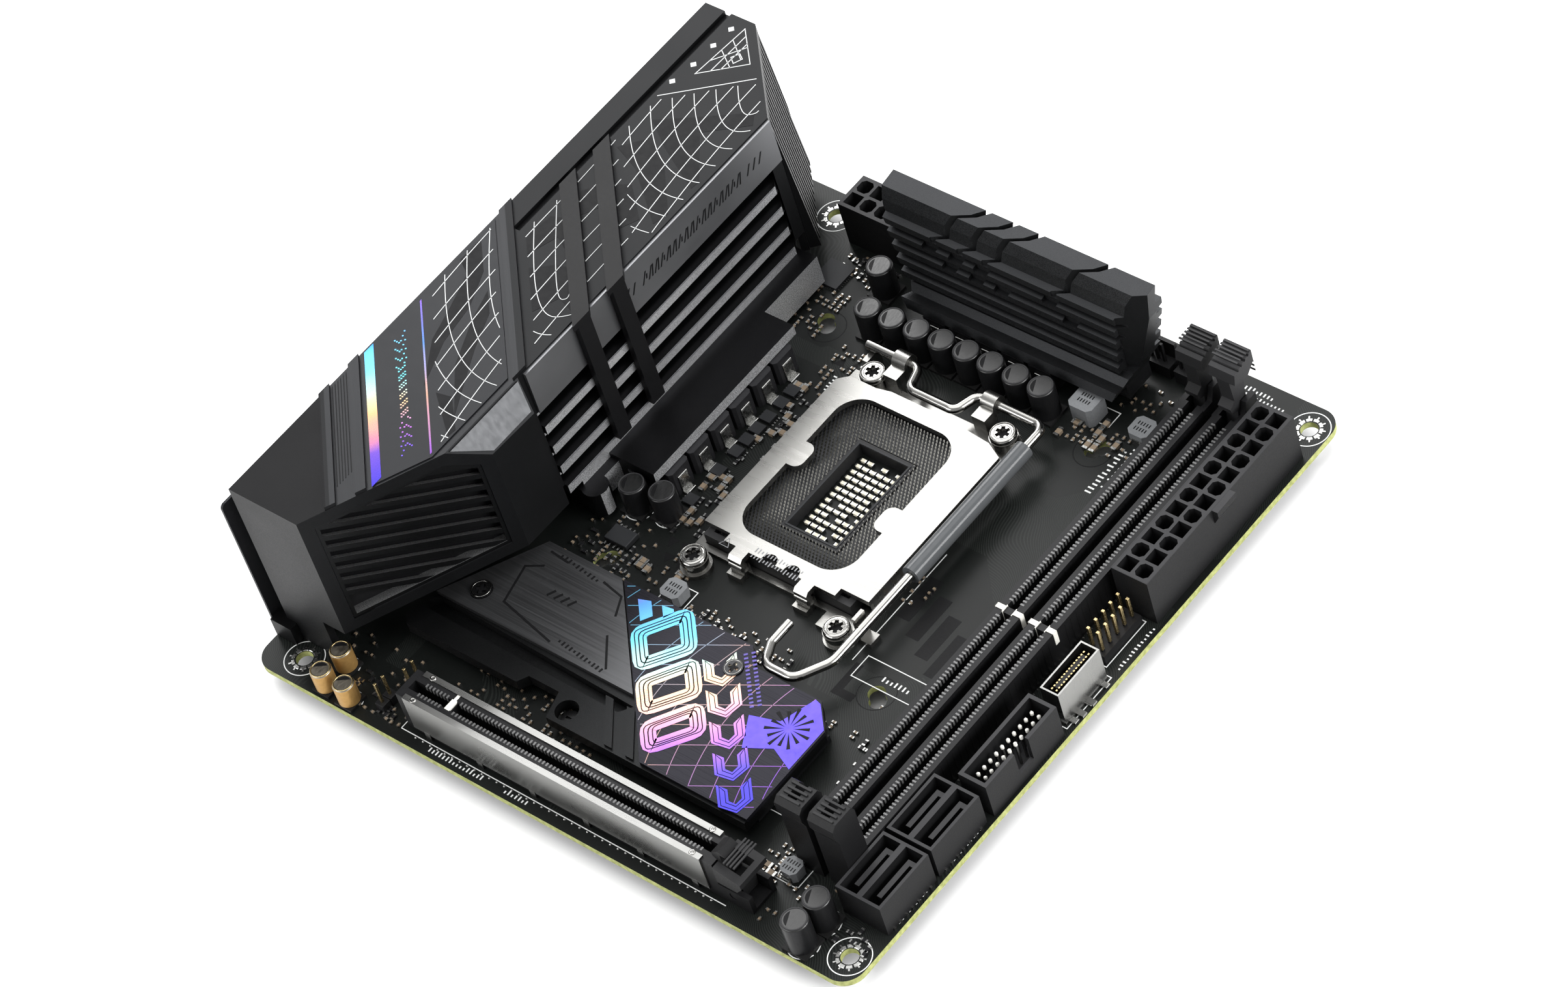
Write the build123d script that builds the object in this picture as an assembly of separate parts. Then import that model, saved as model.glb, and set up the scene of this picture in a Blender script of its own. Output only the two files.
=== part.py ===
from build123d import *
import math
import os

os.makedirs("parts", exist_ok=True)

# ---------------------------------------------------------------- overall board
board_x = 170.0          # rear I/O edge to front edge
board_y = 170.0          # expansion-slot edge to processor-power edge
board_t = 1.6            # laminate thickness
corner_r = 5.0
hole_d = 3.96            # standoff holes
hole_c = (10.16, 6.35)   # datum hole, also the model origin
hole_f = (33.02, 163.83)
hole_h = (165.10, 6.35)
hole_j = (165.10, 163.83)
T = board_t              # top face of the laminate

# clearances
gap_move = 0.35          # between bodies that move past each other
gap_fit = 0.05           # running fit on a pin or axle, radial
seat = 0.02              # pieces of one body that rest face to face

# ---------------------------------------------------------------- processor socket
socket_c = (90.0, 99.1)
package_x, package_y = 37.5, 45.0     # processor package
pocket_play = 0.3
socket_wall = 1.6
socket_floor_h = 2.4
socket_wall_h = 4.1
well_x, well_y = 13.7, 25.0           # opening under the package centre
well_rim = 1.2
contact_h = 0.5
frame_t = 1.2                         # socket frame sheet
plate_t = 1.4                         # load plate sheet
plate_out_x0, plate_out_x1 = 0.95, 3.95   # plate sides, out from the socket walls
plate_y1 = 125.2
window_in_x0, window_in_x1 = 3.05, 3.85   # window sides, in from the pocket sides
window_y0, window_y1 = 78.9, 121.2
window_r = 6.5
plate_z0 = T + socket_wall_h + 0.4
plate_pivot_y, plate_pivot_z = 72.2, T + 3.2
knuckle_r = 1.1
wire_r = 1.1
axle_y, axle_z = 133.6, 7.4
axle_x0, arm_x = 68.4, 117.9
crank_x0, crank_x1, crank_drop = 83.0, 99.5, 5.9
sleeve_y0, sleeve_y1, sleeve_r = 87.0, 126.5, 2.2
screw_r, screw_head_r, screw_head_h = 1.7, 3.1, 3.4
ilm_screws_xy = [(73.3, 128.6), (109.9, 128.6), (71.2, 68.9), (111.6, 68.9)]
backplate_t, insulator_t = 2.0, 0.25
cooler_patterns = (75.0, 78.0)        # two square cooler hole patterns
cooler_hole_r = 2.0

# ---------------------------------------------------------------- memory slots
dimm_x = (144.6, 153.4)
dimm_w = 6.3
dimm_h = 9.0
dimm_y0, dimm_y1 = 21.0, 151.5
dimm_groove_w, dimm_groove_d = 2.4, 6.6
dimm_key_y, dimm_key_w = 88.1, 1.6
dimm_end_w = 6.8
dimm_fixed_h = 22.8
dimm_fixed_out, dimm_fixed_in = 1.9, 4.4   # fixed end tower, outwards and inwards of the slot end
dimm_tower_l, dimm_tower_h = 7.6, 12.4
latch_pin_r = 1.0
latch_w = 3.4
latch_head_w = 6.9
latch_top_h = 24.4
latch_open_deg = 30.0

# ---------------------------------------------------------------- expansion slot
pcie_x0, pcie_len = 43.6, 89.4
pcie_yc, pcie_w, pcie_h = 8.0, 7.4, 11.25
pcie_shell_t = 0.4
pcie_groove_w, pcie_groove_d = 2.4, 8.0
pcie_key_x, pcie_key_w = 56.6, 1.9
pcie_latch_l = 8.2
pcie_latch_h = 15.0

# ---------------------------------------------------------------- power connectors
cell = 4.2
cell_open = 3.5
conn_wall = 0.55
conn_h = 12.8
atx_y0, atx_x1 = 105.6, 168.3
atx_cells = (2, 12)
eps_x0, eps_y1 = 40.8, 168.4
eps_cells = (4, 2)

# ---------------------------------------------------------------- cover over the rear sockets
cover_top = 50.5
cover_t = 1.8
cover_low = 14.0
louvre_low = 17.0
band_h = 13.0
cov_a = (3.5, 10.3)
cov_b = (23.7, 10.3)
cov_c = (43.4, 49.1)
cov_c2 = (43.6, 62.4)
cov_c3 = (39.2, 64.6)
cov_d = (39.2, 149.0)
plaque_top_x, plaque_low_z = 39.2, 44.0
cov_e = (28.1, 160.1)
cov_f = (18.2, 170.0)
cov_g = (3.5, 170.0)
fin_y0 = 66.0
rail_y0 = 97.0

# ---------------------------------------------------------------- rear heatsink
fin_count, fin_t = 4, 2.4
rear_sink_x0, rear_sink_x1 = 26.5, 40.0
rear_sink_low = 11.5
rear_base_x1, rear_base_y0, rear_base_y1 = 53.0, 79.0, 127.5
rear_base_t = 2.7

# ---------------------------------------------------------------- side heatsink
side_x0, side_x1 = 61.8, 134.0
side_y1, side_top = 160.0, 34.8
side_ridge_y = 155.6
side_fins, side_fin_t, side_fin_gap = 5, 2.3, 1.0

# ---------------------------------------------------------------- drive heatsink
m2_top = 8.0
m2_print_top = 8.0
m2_low_top = 7.0
m2_plate_t = 1.6

# ---------------------------------------------------------------- rear panel
shield_x0, shield_t = -1.2, 0.6
shield_y0, shield_y1 = 9.2, 168.4
shield_z0, shield_z1 = -1.6, 43.4
button_r, button_travel = 2.2, 0.6


# ================================================================ helpers
def poly(points, vec):
    return Solid.extrude(Face(Wire.make_polygon(points, close=True)), Vector(*vec))


def box(x0, x1, y0, y1, z0, z1):
    return Pos((x0 + x1) / 2, (y0 + y1) / 2, (z0 + z1) / 2) * Box(x1 - x0, y1 - y0, z1 - z0)


def cyl(x, y, z0, z1, r):
    return Pos(x, y, (z0 + z1) / 2) * Cylinder(r, z1 - z0)


def cyl_x(x0, x1, y, z, r):
    return Pos((x0 + x1) / 2, y, z) * Rot(0, 90, 0) * Cylinder(r, x1 - x0)


def cyl_y(x, y0, y1, z, r):
    return Pos(x, (y0 + y1) / 2, z) * Rot(90, 0, 0) * Cylinder(r, y1 - y0)


def plan(points, z0, z1):
    return poly([(x, y, z0) for x, y in points], (0, 0, z1 - z0))


def side_yz(points, x0, x1):
    return poly([(x0, y, z) for y, z in points], (x1 - x0, 0, 0))


def side_xz(points, y0, y1):
    return poly([(x, y0, z) for x, z in points], (0, y1 - y0, 0))


def rounded(x0, x1, y0, y1, z0, z1, r):
    b = box(x0, x1, y0, y1, z0, z1)
    return fillet(b.edges().filter_by(Axis.Z), r)


def joined(items):
    items = list(items)
    first = items[0]
    return first.fuse(*items[1:]) if len(items) > 1 else first


def cut(base, items):
    items = list(items)
    return base.cut(*items) if items else base


nodes = {}


def common(a, b):
    """Solids shared by two shapes."""
    r = a & b
    if r is None:
        return []
    return list(r.solids())


def save(name, shape):
    """Store a piece; every piece is exported with the datum hole at the origin."""
    solids = [s for s in shape.solids()] if not isinstance(shape, list) else \
        [s for part in shape for s in part.solids()]
    moved = [Pos(-hole_c[0], -hole_c[1], 0) * s for s in solids]
    nodes[name] = moved
    out = moved[0] if len(moved) == 1 else Compound(children=moved)
    out.label = name
    export_step(out, "parts/" + name + ".step")


# screws that hold the two heatsinks from below
sink_post_xy = ((42.4, 71.0), (31.0, 143.0), (76.0, 156.5), (121.0, 156.5))
sink_boss_r = 3.1

# ================================================================ laminate
pcb = rounded(0, board_x, 0, board_y, 0, T, corner_r)
holes = [cyl(x, y, -1, T + 1, hole_d / 2) for x, y in (hole_c, hole_f, hole_h, hole_j)]
cooler_holes = []
for sx in (-1, 1):
    for sy in (-1, 1):
        lobes = [cyl(socket_c[0] + sx * p / 2, socket_c[1] + sy * p / 2, -1, T + 1, cooler_hole_r)
                 for p in cooler_patterns]
        cooler_holes.append(joined(lobes))
screw_holes = [cyl(x, y, -1, T + 1, screw_r + 0.2) for x, y in ilm_screws_xy]
screw_holes += [cyl(x, y, -1, T + 1, 1.2 + 0.2) for x, y in sink_post_xy]
save("circuit_board", cut(pcb, holes + cooler_holes + screw_holes))

# ================================================================ socket body
sx0, sx1 = socket_c[0] - package_x / 2 - pocket_play, socket_c[0] + package_x / 2 + pocket_play
sy0, sy1 = socket_c[1] - package_y / 2 - pocket_play, socket_c[1] + package_y / 2 + pocket_play
plate_x0, plate_x1 = sx0 - socket_wall - plate_out_x0, sx1 + socket_wall + plate_out_x1
window_x0, window_x1 = sx0 + window_in_x0, sx1 - window_in_x1
wx0, wx1 = socket_c[0] - well_x / 2, socket_c[0] + well_x / 2
wy0, wy1 = socket_c[1] - well_y / 2, socket_c[1] + well_y / 2
body = box(sx0 - socket_wall, sx1 + socket_wall, sy0 - socket_wall, sy1 + socket_wall,
           T + seat, T + socket_wall_h)
body = cut(body, [box(sx0, sx1, sy0, sy1, T + socket_floor_h, T + socket_wall_h + 1),
                  box(wx0, wx1, wy0, wy1, T - 1, T + socket_wall_h)])
rim = box(wx0 - well_rim, wx1 + well_rim, wy0 - well_rim, wy1 + well_rim,
          T + socket_floor_h - 0.2, T + socket_floor_h + 0.8)
rim = cut(rim, [box(wx0, wx1, wy0, wy1, T, T + 9)])
save("socket_body", joined([body, rim]))

field = box(sx0 + 0.4, sx1 - 0.4, sy0 + 0.4, sy1 - 0.4,
            T + socket_floor_h + seat, T + socket_floor_h + contact_h)
field = cut(field, [box(wx0 - well_rim - 0.3, wx1 + well_rim + 0.3, wy0 - well_rim - 0.3,
                        wy1 + well_rim + 0.3, T, T + 9)])
save("socket_contacts", field)

# ================================================================ socket frame
fx0, fx1 = sx0 - socket_wall - 0.2, sx1 + socket_wall + 0.2
fy0, fy1 = sy0 - socket_wall - 0.2, sy1 + socket_wall + 0.2
frame_z0 = T + seat
frame_z1 = frame_z0 + frame_t
lug_r = 3.6
ring = box(fx0 - 2.0, fx1 + 4.0, fy0 - 1.6, fy1 + 5.6, frame_z0, frame_z1)
lugs = [cyl(x, y, frame_z0, frame_z1, lug_r) for x, y in ilm_screws_xy]
ribs = [box(min(x, fx0), max(x, fx0), min(y, fy0), max(y, fy0) + 1, frame_z0, frame_z1)
        for x, y in ilm_screws_xy[2:3]]
ribs += [box(fx1 - 6, ilm_screws_xy[3][0], ilm_screws_xy[3][1], fy0 + 1, frame_z0, frame_z1)]
frame = joined([ring] + lugs + ribs)
# saddles that carry the plate knuckles
saddle_x = ((79.0, 83.0), (97.5, 101.5))
for a, b in saddle_x:
    frame = frame.fuse(box(a, b, plate_pivot_y - 2.1, plate_pivot_y + 1.5, frame_z0,
                           plate_pivot_z + 0.2))
# rolled loops that carry the lever axle
loop_x = ((76.8, 80.6), (101.7, 105.4))
for a, b in loop_x:
    stem = box(a, b, fy1 + 4.6, axle_y - wire_r - 0.3, frame_z0, axle_z)
    frame = frame.fuse(stem, cyl_x(a, b, axle_y, axle_z, wire_r + gap_fit + 1.0))
# end rest of the axle and the catch beside the lever arm
frame = frame.fuse(box(axle_x0 + 0.6, axle_x0 + 2.0, axle_y - 3.4, axle_y + 1.0, frame_z0,
                       axle_z - wire_r - gap_move))
frame = frame.fuse(box(axle_x0 + 0.6, axle_x0 + 2.0, fy1 + 0.5, axle_y - 2.0, frame_z0, frame_z1))
catch_y0, catch_y1 = 70.4, 73.6
frame = frame.fuse(
    box(fx1 - 1, arm_x + wire_r, catch_y0, catch_y1, frame_z0, frame_z1),
    box(arm_x - wire_r - 0.9 - gap_move, arm_x - wire_r - gap_move, catch_y0, catch_y1,
        frame_z0, axle_z + wire_r + 0.9))
inner = box(fx0, fx1, fy0, fy1, 0, T + 9)
cuts = [inner]
cuts += [cyl_x(a - 1, b + 1, plate_pivot_y, plate_pivot_z, knuckle_r + gap_fit)
         for a, b in saddle_x]
cuts += [box(a - 1, b + 1, plate_pivot_y - knuckle_r - gap_fit, plate_pivot_y + knuckle_r + gap_fit,
             plate_pivot_z, plate_pivot_z + 3) for a, b in saddle_x]
# room behind each saddle for the finger when the plate stands open
cuts += [box(a - 1, b + 1, plate_pivot_y - 3, plate_pivot_y - 0.6 * knuckle_r,
             plate_pivot_z - knuckle_r - gap_move, plate_pivot_z + 3) for a, b in saddle_x]
cuts += [cyl_x(a - 1, b + 1, axle_y, axle_z, wire_r + gap_fit) for a, b in loop_x]
cuts += [cyl(x, y, 0, T + 9, screw_r + 0.2) for x, y in ilm_screws_xy]
save("socket_frame", cut(frame, cuts))

# ================================================================ load plate (hinges up)
plate_z1 = plate_z0 + plate_t
plate_y0 = 74.6
screw_clear = 4.6
corner_y0 = ilm_screws_xy[2][1] + 7.9
plate = plan([(75.8, plate_y0), (107.0, plate_y0), (107.0, corner_y0), (plate_x1, corner_y0),
              (plate_x1, plate_y1 - 3.4), (plate_x1 - 4.6, plate_y1 - 1.2), (103.0, plate_y1 - 0.6),
              (100.0, plate_y1), (82.0, plate_y1), (78.0, plate_y1 - 0.8), (plate_x0 + 2.4, plate_y1 - 0.8),
              (plate_x0, plate_y1 - 3.0), (plate_x0, corner_y0), (75.8, corner_y0)], plate_z0, plate_z1)
window = rounded(window_x0, window_x1, window_y0, window_y1, plate_z0 - 1, plate_z1 + 1, window_r)
ear_w, ear_r = 7.0, 3.2
ears = []
for x, s in ((window_x0, 1), (window_x1, -1)):
    yc = 101.5 if s > 0 else 96.5
    ears.append(rounded(min(x - s * 2, x + s * 3.4), max(x - s * 2, x + s * 3.4),
                        yc - ear_w / 2, yc + ear_w / 2, plate_z0, plate_z1, 2.2))
plate = joined([cut(plate, [window])] + ears)
# turned-down sides outside the socket walls
plate = plate.fuse(box(plate_x0, plate_x0 + 0.9, corner_y0 + 1, plate_y1 - 4, frame_z1 + gap_move + 0.2,
                       plate_z0 + 0.2),
                   box(plate_x1 - 1.2, plate_x1, corner_y0 + 1, plate_y1 - 4,
                       frame_z1 + gap_move + 0.2, plate_z0 + 0.2))
# fingers that reach down to the knuckles
for a, b in saddle_x:
    finger = side_yz([(plate_pivot_y - 0.7, plate_pivot_z), (plate_pivot_y + 0.7, plate_pivot_z),
                      (plate_pivot_y + 0.7, plate_z0), (plate_y0 + 0.4, plate_z0),
                      (plate_y0 + 0.4, plate_z1), (plate_pivot_y + 0.1, plate_z1),
                      (plate_pivot_y - 0.7, plate_z1 - 0.8)], a + 0.2, b - 0.2)
    plate = plate.fuse(finger, cyl_x(a + 0.2, b - 0.2, plate_pivot_y, plate_pivot_z, knuckle_r))
for xc in (88.3, 94.6):
    plate = plate.cut(cyl(xc, plate_y0 + 0.2, plate_z0 - 1, plate_z1 + 1, 2.0))
save("load_plate", plate)

# ================================================================ lever (wire form)
bend_r = 2.6
path_pts = [(axle_x0, axle_y, axle_z), (crank_x0, axle_y, axle_z),
            (crank_x0 + 1.8, axle_y - crank_drop, axle_z), (crank_x1 - 1.8, axle_y - crank_drop, axle_z),
            (crank_x1, axle_y, axle_z), (arm_x, axle_y, axle_z), (arm_x, 60.5, axle_z),
            (113.2, 52.8, axle_z), (105.4, 52.8, axle_z), (103.0, 58.0, axle_z), (103.0, 64.2, axle_z)]
path = FilletPolyline(*path_pts, radius=[2.3, 2.3, 2.3, 2.3, 2.6, 5.5, 3.6, 3.2, 2.4])
wire_section = Plane(origin=path_pts[0], z_dir=(1, 0, 0)) * Circle(wire_r)
save("load_lever", sweep(wire_section, path=path))

sleeve = cyl_y(arm_x, sleeve_y0, sleeve_y1, axle_z, sleeve_r)
save("lever_sleeve", cut(sleeve, [cyl_y(arm_x, sleeve_y0 - 1, sleeve_y1 + 1, axle_z, wire_r + seat)]))

# ================================================================ socket screws and backplate
screws = []
for x, y in ilm_screws_xy:
    head = cyl(x, y, frame_z1 + seat, frame_z1 + screw_head_h, screw_head_r)
    head = fillet(head.edges().sort_by(Axis.Z)[-1], 0.8)
    star = joined([Pos(x, y, frame_z1 + screw_head_h) * Rot(0, 0, k * 60) * Box(3.4, 0.9, 2.4)
                   for k in range(3)] + [cyl(x, y, frame_z1 + screw_head_h - 1.2,
                                             frame_z1 + screw_head_h + 1, 1.15)])
    shank = cyl(x, y, -insulator_t - backplate_t, frame_z1 + seat + 0.2, screw_r)
    screws.append(head.fuse(shank).cut(star))
save("socket_screws", screws)

bx0, bx1, by0, by1 = fx0 - 2.5, fx1 + 4.5, ilm_screws_xy[2][1] - 4.5, ilm_screws_xy[0][1] + 4.5
back = rounded(bx0, bx1, by0, by1, -insulator_t - backplate_t, -insulator_t, 3.0)
back = cut(back, [rounded(fx0 + 5, fx1 - 5, fy0 + 5, fy1 - 5, -9, 1, 4.0)]
           + [cyl(x, y, -9, 1, screw_r + seat) for x, y in ilm_screws_xy])
save("socket_backplate", back)

# ================================================================ memory slots
latch_pivot_y = dimm_y1 + 3.9
latch_pivot_z = T + 3.4
for tag, xc in zip("ab", dimm_x):
    z0 = T + seat
    h = box(xc - dimm_w / 2, xc + dimm_w / 2, dimm_y0 - 1, dimm_y1 + 1, z0, T + dimm_h)
    ya, yb = dimm_y0 - dimm_fixed_out, dimm_y0 + dimm_fixed_in
    zf = T + dimm_fixed_h
    low_end = side_yz([(ya, z0), (yb, z0), (yb, zf - 1.4), (yb - 0.8, zf), (ya + 0.5, zf), (ya - 0.7, zf - 1.2),
                       (ya - 0.7, zf - 3.6), (ya, zf - 5.6)], xc - dimm_end_w / 2, xc + dimm_end_w / 2)
    high_end = box(xc - dimm_end_w / 2, xc + dimm_end_w / 2, dimm_y1, dimm_y1 + dimm_tower_l, z0,
                   T + dimm_tower_h)
    groove = box(xc - dimm_groove_w / 2, xc + dimm_groove_w / 2, dimm_y0 - 1.0, dimm_y1 + 1.0,
                 T + dimm_h - dimm_groove_d, T + dimm_h + 9)
    key = box(xc - dimm_groove_w / 2 - 0.1, xc + dimm_groove_w / 2 + 0.1, dimm_key_y - dimm_key_w / 2,
              dimm_key_y + dimm_key_w / 2, T + dimm_h - dimm_groove_d - 0.1, T + dimm_h - 0.2)
    end_slot = box(xc - dimm_groove_w / 2, xc + dimm_groove_w / 2, dimm_y0 - 0.5, yb + 1,
                   T + dimm_h - dimm_groove_d, zf + 1)
    channel = box(xc - latch_w / 2 - gap_move, xc + latch_w / 2 + gap_move, dimm_y1 + 0.8,
                  dimm_y1 + dimm_tower_l + 1, T + 0.9, T + dimm_tower_h + 1)
    tower_top = side_yz([(dimm_y1 - 1, T + dimm_h), (dimm_y1 + 3.0, T + dimm_h),
                         (dimm_y1 + 4.6, T + dimm_tower_h + 1), (dimm_y1 - 1, T + dimm_tower_h + 1)],
                        xc - 9, xc + 9)
    slot = cut(h.fuse(low_end, high_end), [groove, end_slot, channel, tower_top]).fuse(key)
    pin_hole = cyl_x(xc - dimm_end_w / 2 - 1, xc + dimm_end_w / 2 + 1, latch_pivot_y, latch_pivot_z,
                     latch_pin_r + gap_fit)
    save("memory_slot_" + tag, cut(slot, [pin_hole]))
    # latch: foot, arm, hook nose and ribbed thumb pad, with its own pivot pin
    zt = T + latch_top_h
    py, pz = latch_pivot_y, latch_pivot_z
    arm = side_yz([(py - 1.9, pz - 1.9), (py + 1.9, pz - 1.9), (py + 2.2, pz + 4), (py + 2.8, zt - 5.0),
                   (py + 5.0, zt - 3.2), (py + 5.0, zt), (py - 1.0, zt - 2.0), (py - 1.6, zt - 4.4),
                   (py - 1.2, T + dimm_h + 4.4), (py - 3.0, T + dimm_h + 3.4),
                   (py - 2.7, T + dimm_h + 1.9), (py - 1.0, T + dimm_h + 1.2), (py - 1.4, pz + 2)],
                  xc - latch_w / 2, xc + latch_w / 2)
    pad = side_yz([(py + 2.6, zt - 5.6), (py + 5.2, zt - 3.2), (py + 5.2, zt), (py - 1.2, zt - 2.0),
                   (py - 1.7, zt - 4.6), (py + 0.6, zt - 5.6)],
                  xc - latch_head_w / 2, xc + latch_head_w / 2)
    teeth = [Pos(xc, py + 0.2 + 1.25 * k, zt - 1.72 + 0.403 * k) * Rot(45, 0, 0) * Box(9, 0.55, 0.55)
             for k in range(4)]
    pin = cyl_x(xc - dimm_end_w / 2 + 0.3, xc + dimm_end_w / 2 - 0.3, py, pz, latch_pin_r)
    save("memory_latch_" + tag, cut(arm.fuse(pad, pin), teeth))

# ================================================================ expansion slot
px1 = pcie_x0 + pcie_len
pz1 = T + pcie_h
body = box(pcie_x0, px1, pcie_yc - pcie_w / 2, pcie_yc + pcie_w / 2, T + seat, pz1)
body = cut(body, [box(pcie_x0 + 1.6, px1 - 1.6, pcie_yc - pcie_groove_w / 2,
                      pcie_yc + pcie_groove_w / 2, pz1 - pcie_groove_d, pz1 + 1)])
body = body.fuse(box(pcie_key_x - pcie_key_w / 2, pcie_key_x + pcie_key_w / 2,
                     pcie_yc - pcie_w / 2 + 1, pcie_yc + pcie_w / 2 - 1, pz1 - pcie_groove_d - 0.2,
                     pz1 - 0.3))
# latch cradle beyond the far end
cr_x1 = px1 + pcie_latch_l
cradle = box(px1 - 0.5, cr_x1, pcie_yc - pcie_w / 2, pcie_yc + pcie_w / 2, T + seat, T + 4.8)
cradle = cut(cradle, [box(px1 + 0.8, cr_x1 + 1, pcie_yc - pcie_w / 2 + 1.2, pcie_yc + pcie_w / 2 - 1.2,
                          T + 0.9, T + 9)])
plat_x, plat_z = px1 + 3.4, T + 3.0
body = cut(body.fuse(cradle), [cyl_y(plat_x, pcie_yc - 9, pcie_yc + 9, plat_z, 0.9 + gap_fit)])
save("expansion_slot", body)

shell = box(pcie_x0 + 2.4, px1 - 3.0, pcie_yc - pcie_w / 2 - pcie_shell_t - seat,
            pcie_yc + pcie_w / 2 + pcie_shell_t + seat, T + 1.6, pz1 + pcie_shell_t)
shell = cut(shell, [box(pcie_x0, px1, pcie_yc - pcie_w / 2 - seat, pcie_yc + pcie_w / 2 + seat,
                        T - 1, pz1 + seat),
                    box(pcie_x0, px1, pcie_yc - 2.75, pcie_yc + 2.75, T, pz1 + 5)])
save("expansion_slot_shell", shell)

# hold-down latch: tilts away from the slot
lw = pcie_w - 2 * 1.2 - 2 * gap_move
lz = T + pcie_latch_h
platch = side_xz([(plat_x - 1.3, plat_z - 1.3), (plat_x + 1.6, plat_z - 1.3), (plat_x + 2.2, plat_z + 4),
                  (plat_x + 4.3, T + 8.6), (plat_x + 4.3, T + 10.0), (plat_x + 0.6, T + 10.8), (plat_x + 0.2, lz - 1.2),
                  (plat_x - 1.9, lz), (px1 - 0.6, pz1 + 2.4), (px1 - 0.6, pz1 + 1.2),
                  (px1 + gap_move + 0.2, pz1 + 0.4), (px1 + gap_move + 0.2, plat_z + 2.6)],
                 pcie_yc - lw / 2, pcie_yc + lw / 2)
wide = side_xz([(px1 + 0.6, T + 6.6), (plat_x + 2.6, T + 6.6), (plat_x + 4.3, T + 8.6), (plat_x + 4.3, T + 10.0),
                (px1 + 0.6, T + 11.4)], pcie_yc - pcie_w / 2 - 0.5, pcie_yc + pcie_w / 2 + 0.5)
lwin = box(px1 + 1.7, plat_x + 3.0, pcie_yc - 2.3, pcie_yc + 2.3, T + 5.6, T + 14)
platch = cut(platch.fuse(wide), [lwin])
save("expansion_slot_latch", platch.fuse(cyl_y(plat_x, pcie_yc - pcie_w / 2 + 0.2,
                                               pcie_yc + pcie_w / 2 - 0.2, plat_z, 0.9)))


# ================================================================ wire-to-board power sockets
def power_socket(x0, y0, nx, ny, tab):
    lx, ly = nx * cell + 2 * conn_wall, ny * cell + 2 * conn_wall
    h = box(x0, x0 + lx, y0, y0 + ly, T + seat, T + conn_h)
    c = []
    for i in range(nx):
        for j in range(ny):
            cx, cy = x0 + conn_wall + (i + 0.5) * cell, y0 + conn_wall + (j + 0.5) * cell
            hole = box(cx - cell_open / 2, cx + cell_open / 2, cy - cell_open / 2, cy + cell_open / 2,
                       T + 2.2, T + conn_h + 1)
            if (i + 2 * j) % 4 in (1, 2):
                hole = chamfer(hole.edges().filter_by(Axis.Z), 0.8)
            c.append(hole)
    return cut(h, c).fuse(tab)


def power_pins(x0, y0, nx, ny):
    return [box(x0 + conn_wall + (i + 0.5) * cell - 0.5, x0 + conn_wall + (i + 0.5) * cell + 0.5,
                y0 + conn_wall + (j + 0.5) * cell - 0.5, y0 + conn_wall + (j + 0.5) * cell + 0.5,
                T + 2.2 + seat, T + 9.4) for i in range(nx) for j in range(ny)]


atx_lx = atx_cells[0] * cell + 2 * conn_wall
atx_ly = atx_cells[1] * cell + 2 * conn_wall
atx_x0 = atx_x1 - atx_lx
tab_a = side_xz([(atx_x1 - 0.1, T + conn_h), (atx_x1 - 0.1, T + conn_h - 4.4),
                 (atx_x1 + 1.5, T + conn_h - 1.6), (atx_x1 + 1.5, T + conn_h)],
                atx_y0 + atx_ly / 2 - 3.2, atx_y0 + atx_ly / 2 + 3.2)
save("main_power_socket", power_socket(atx_x0, atx_y0, *atx_cells, tab_a))
eps_lx = eps_cells[0] * cell + 2 * conn_wall
eps_ly = eps_cells[1] * cell + 2 * conn_wall
eps_y0 = eps_y1 - eps_ly
tab_e = side_yz([(eps_y1 - 0.1, T + conn_h), (eps_y1 - 0.1, T + conn_h - 4.4),
                 (eps_y1 + 1.4, T + conn_h - 1.6), (eps_y1 + 1.4, T + conn_h)],
                eps_x0 + eps_lx / 2 - 3.0, eps_x0 + eps_lx / 2 + 3.0)
save("processor_power_socket", power_socket(eps_x0, eps_y0, *eps_cells, tab_e))
save("power_pins", power_pins(atx_x0, atx_y0, *atx_cells) + power_pins(eps_x0, eps_y0, *eps_cells))

# ================================================================ drive ports and front headers
sata_h, sata_px, sata_ly, sata_wall = 8.8, 5.9, 15.8, 0.7
sata_x0 = 157.0
for tag, y0 in (("a", 31.2), ("b", 14.4)):
    b = box(sata_x0, sata_x0 + 2 * sata_px, y0, y0 + sata_ly, T + seat, T + sata_h)
    cav, tongues = [], []
    for k in range(2):
        xa = sata_x0 + k * sata_px + sata_wall
        xb = sata_x0 + (k + 1) * sata_px - sata_wall
        cav.append(box(xa, xb, y0 + sata_wall, y0 + sata_ly - sata_wall, T + 1.4, T + sata_h + 1))
        tongues.append(box(xa + 1.7, xa + 2.9, y0 + 3.0, y0 + sata_ly - 2.4, T + 1.2, T + sata_h - 1.2))
        tongues.append(box(xa + 1.7, xa + 4.0, y0 + sata_ly - 3.6, y0 + sata_ly - 2.4, T + 1.2,
                           T + sata_h - 1.2))
    save("drive_port_" + tag, cut(b, cav).fuse(*tongues))

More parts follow.
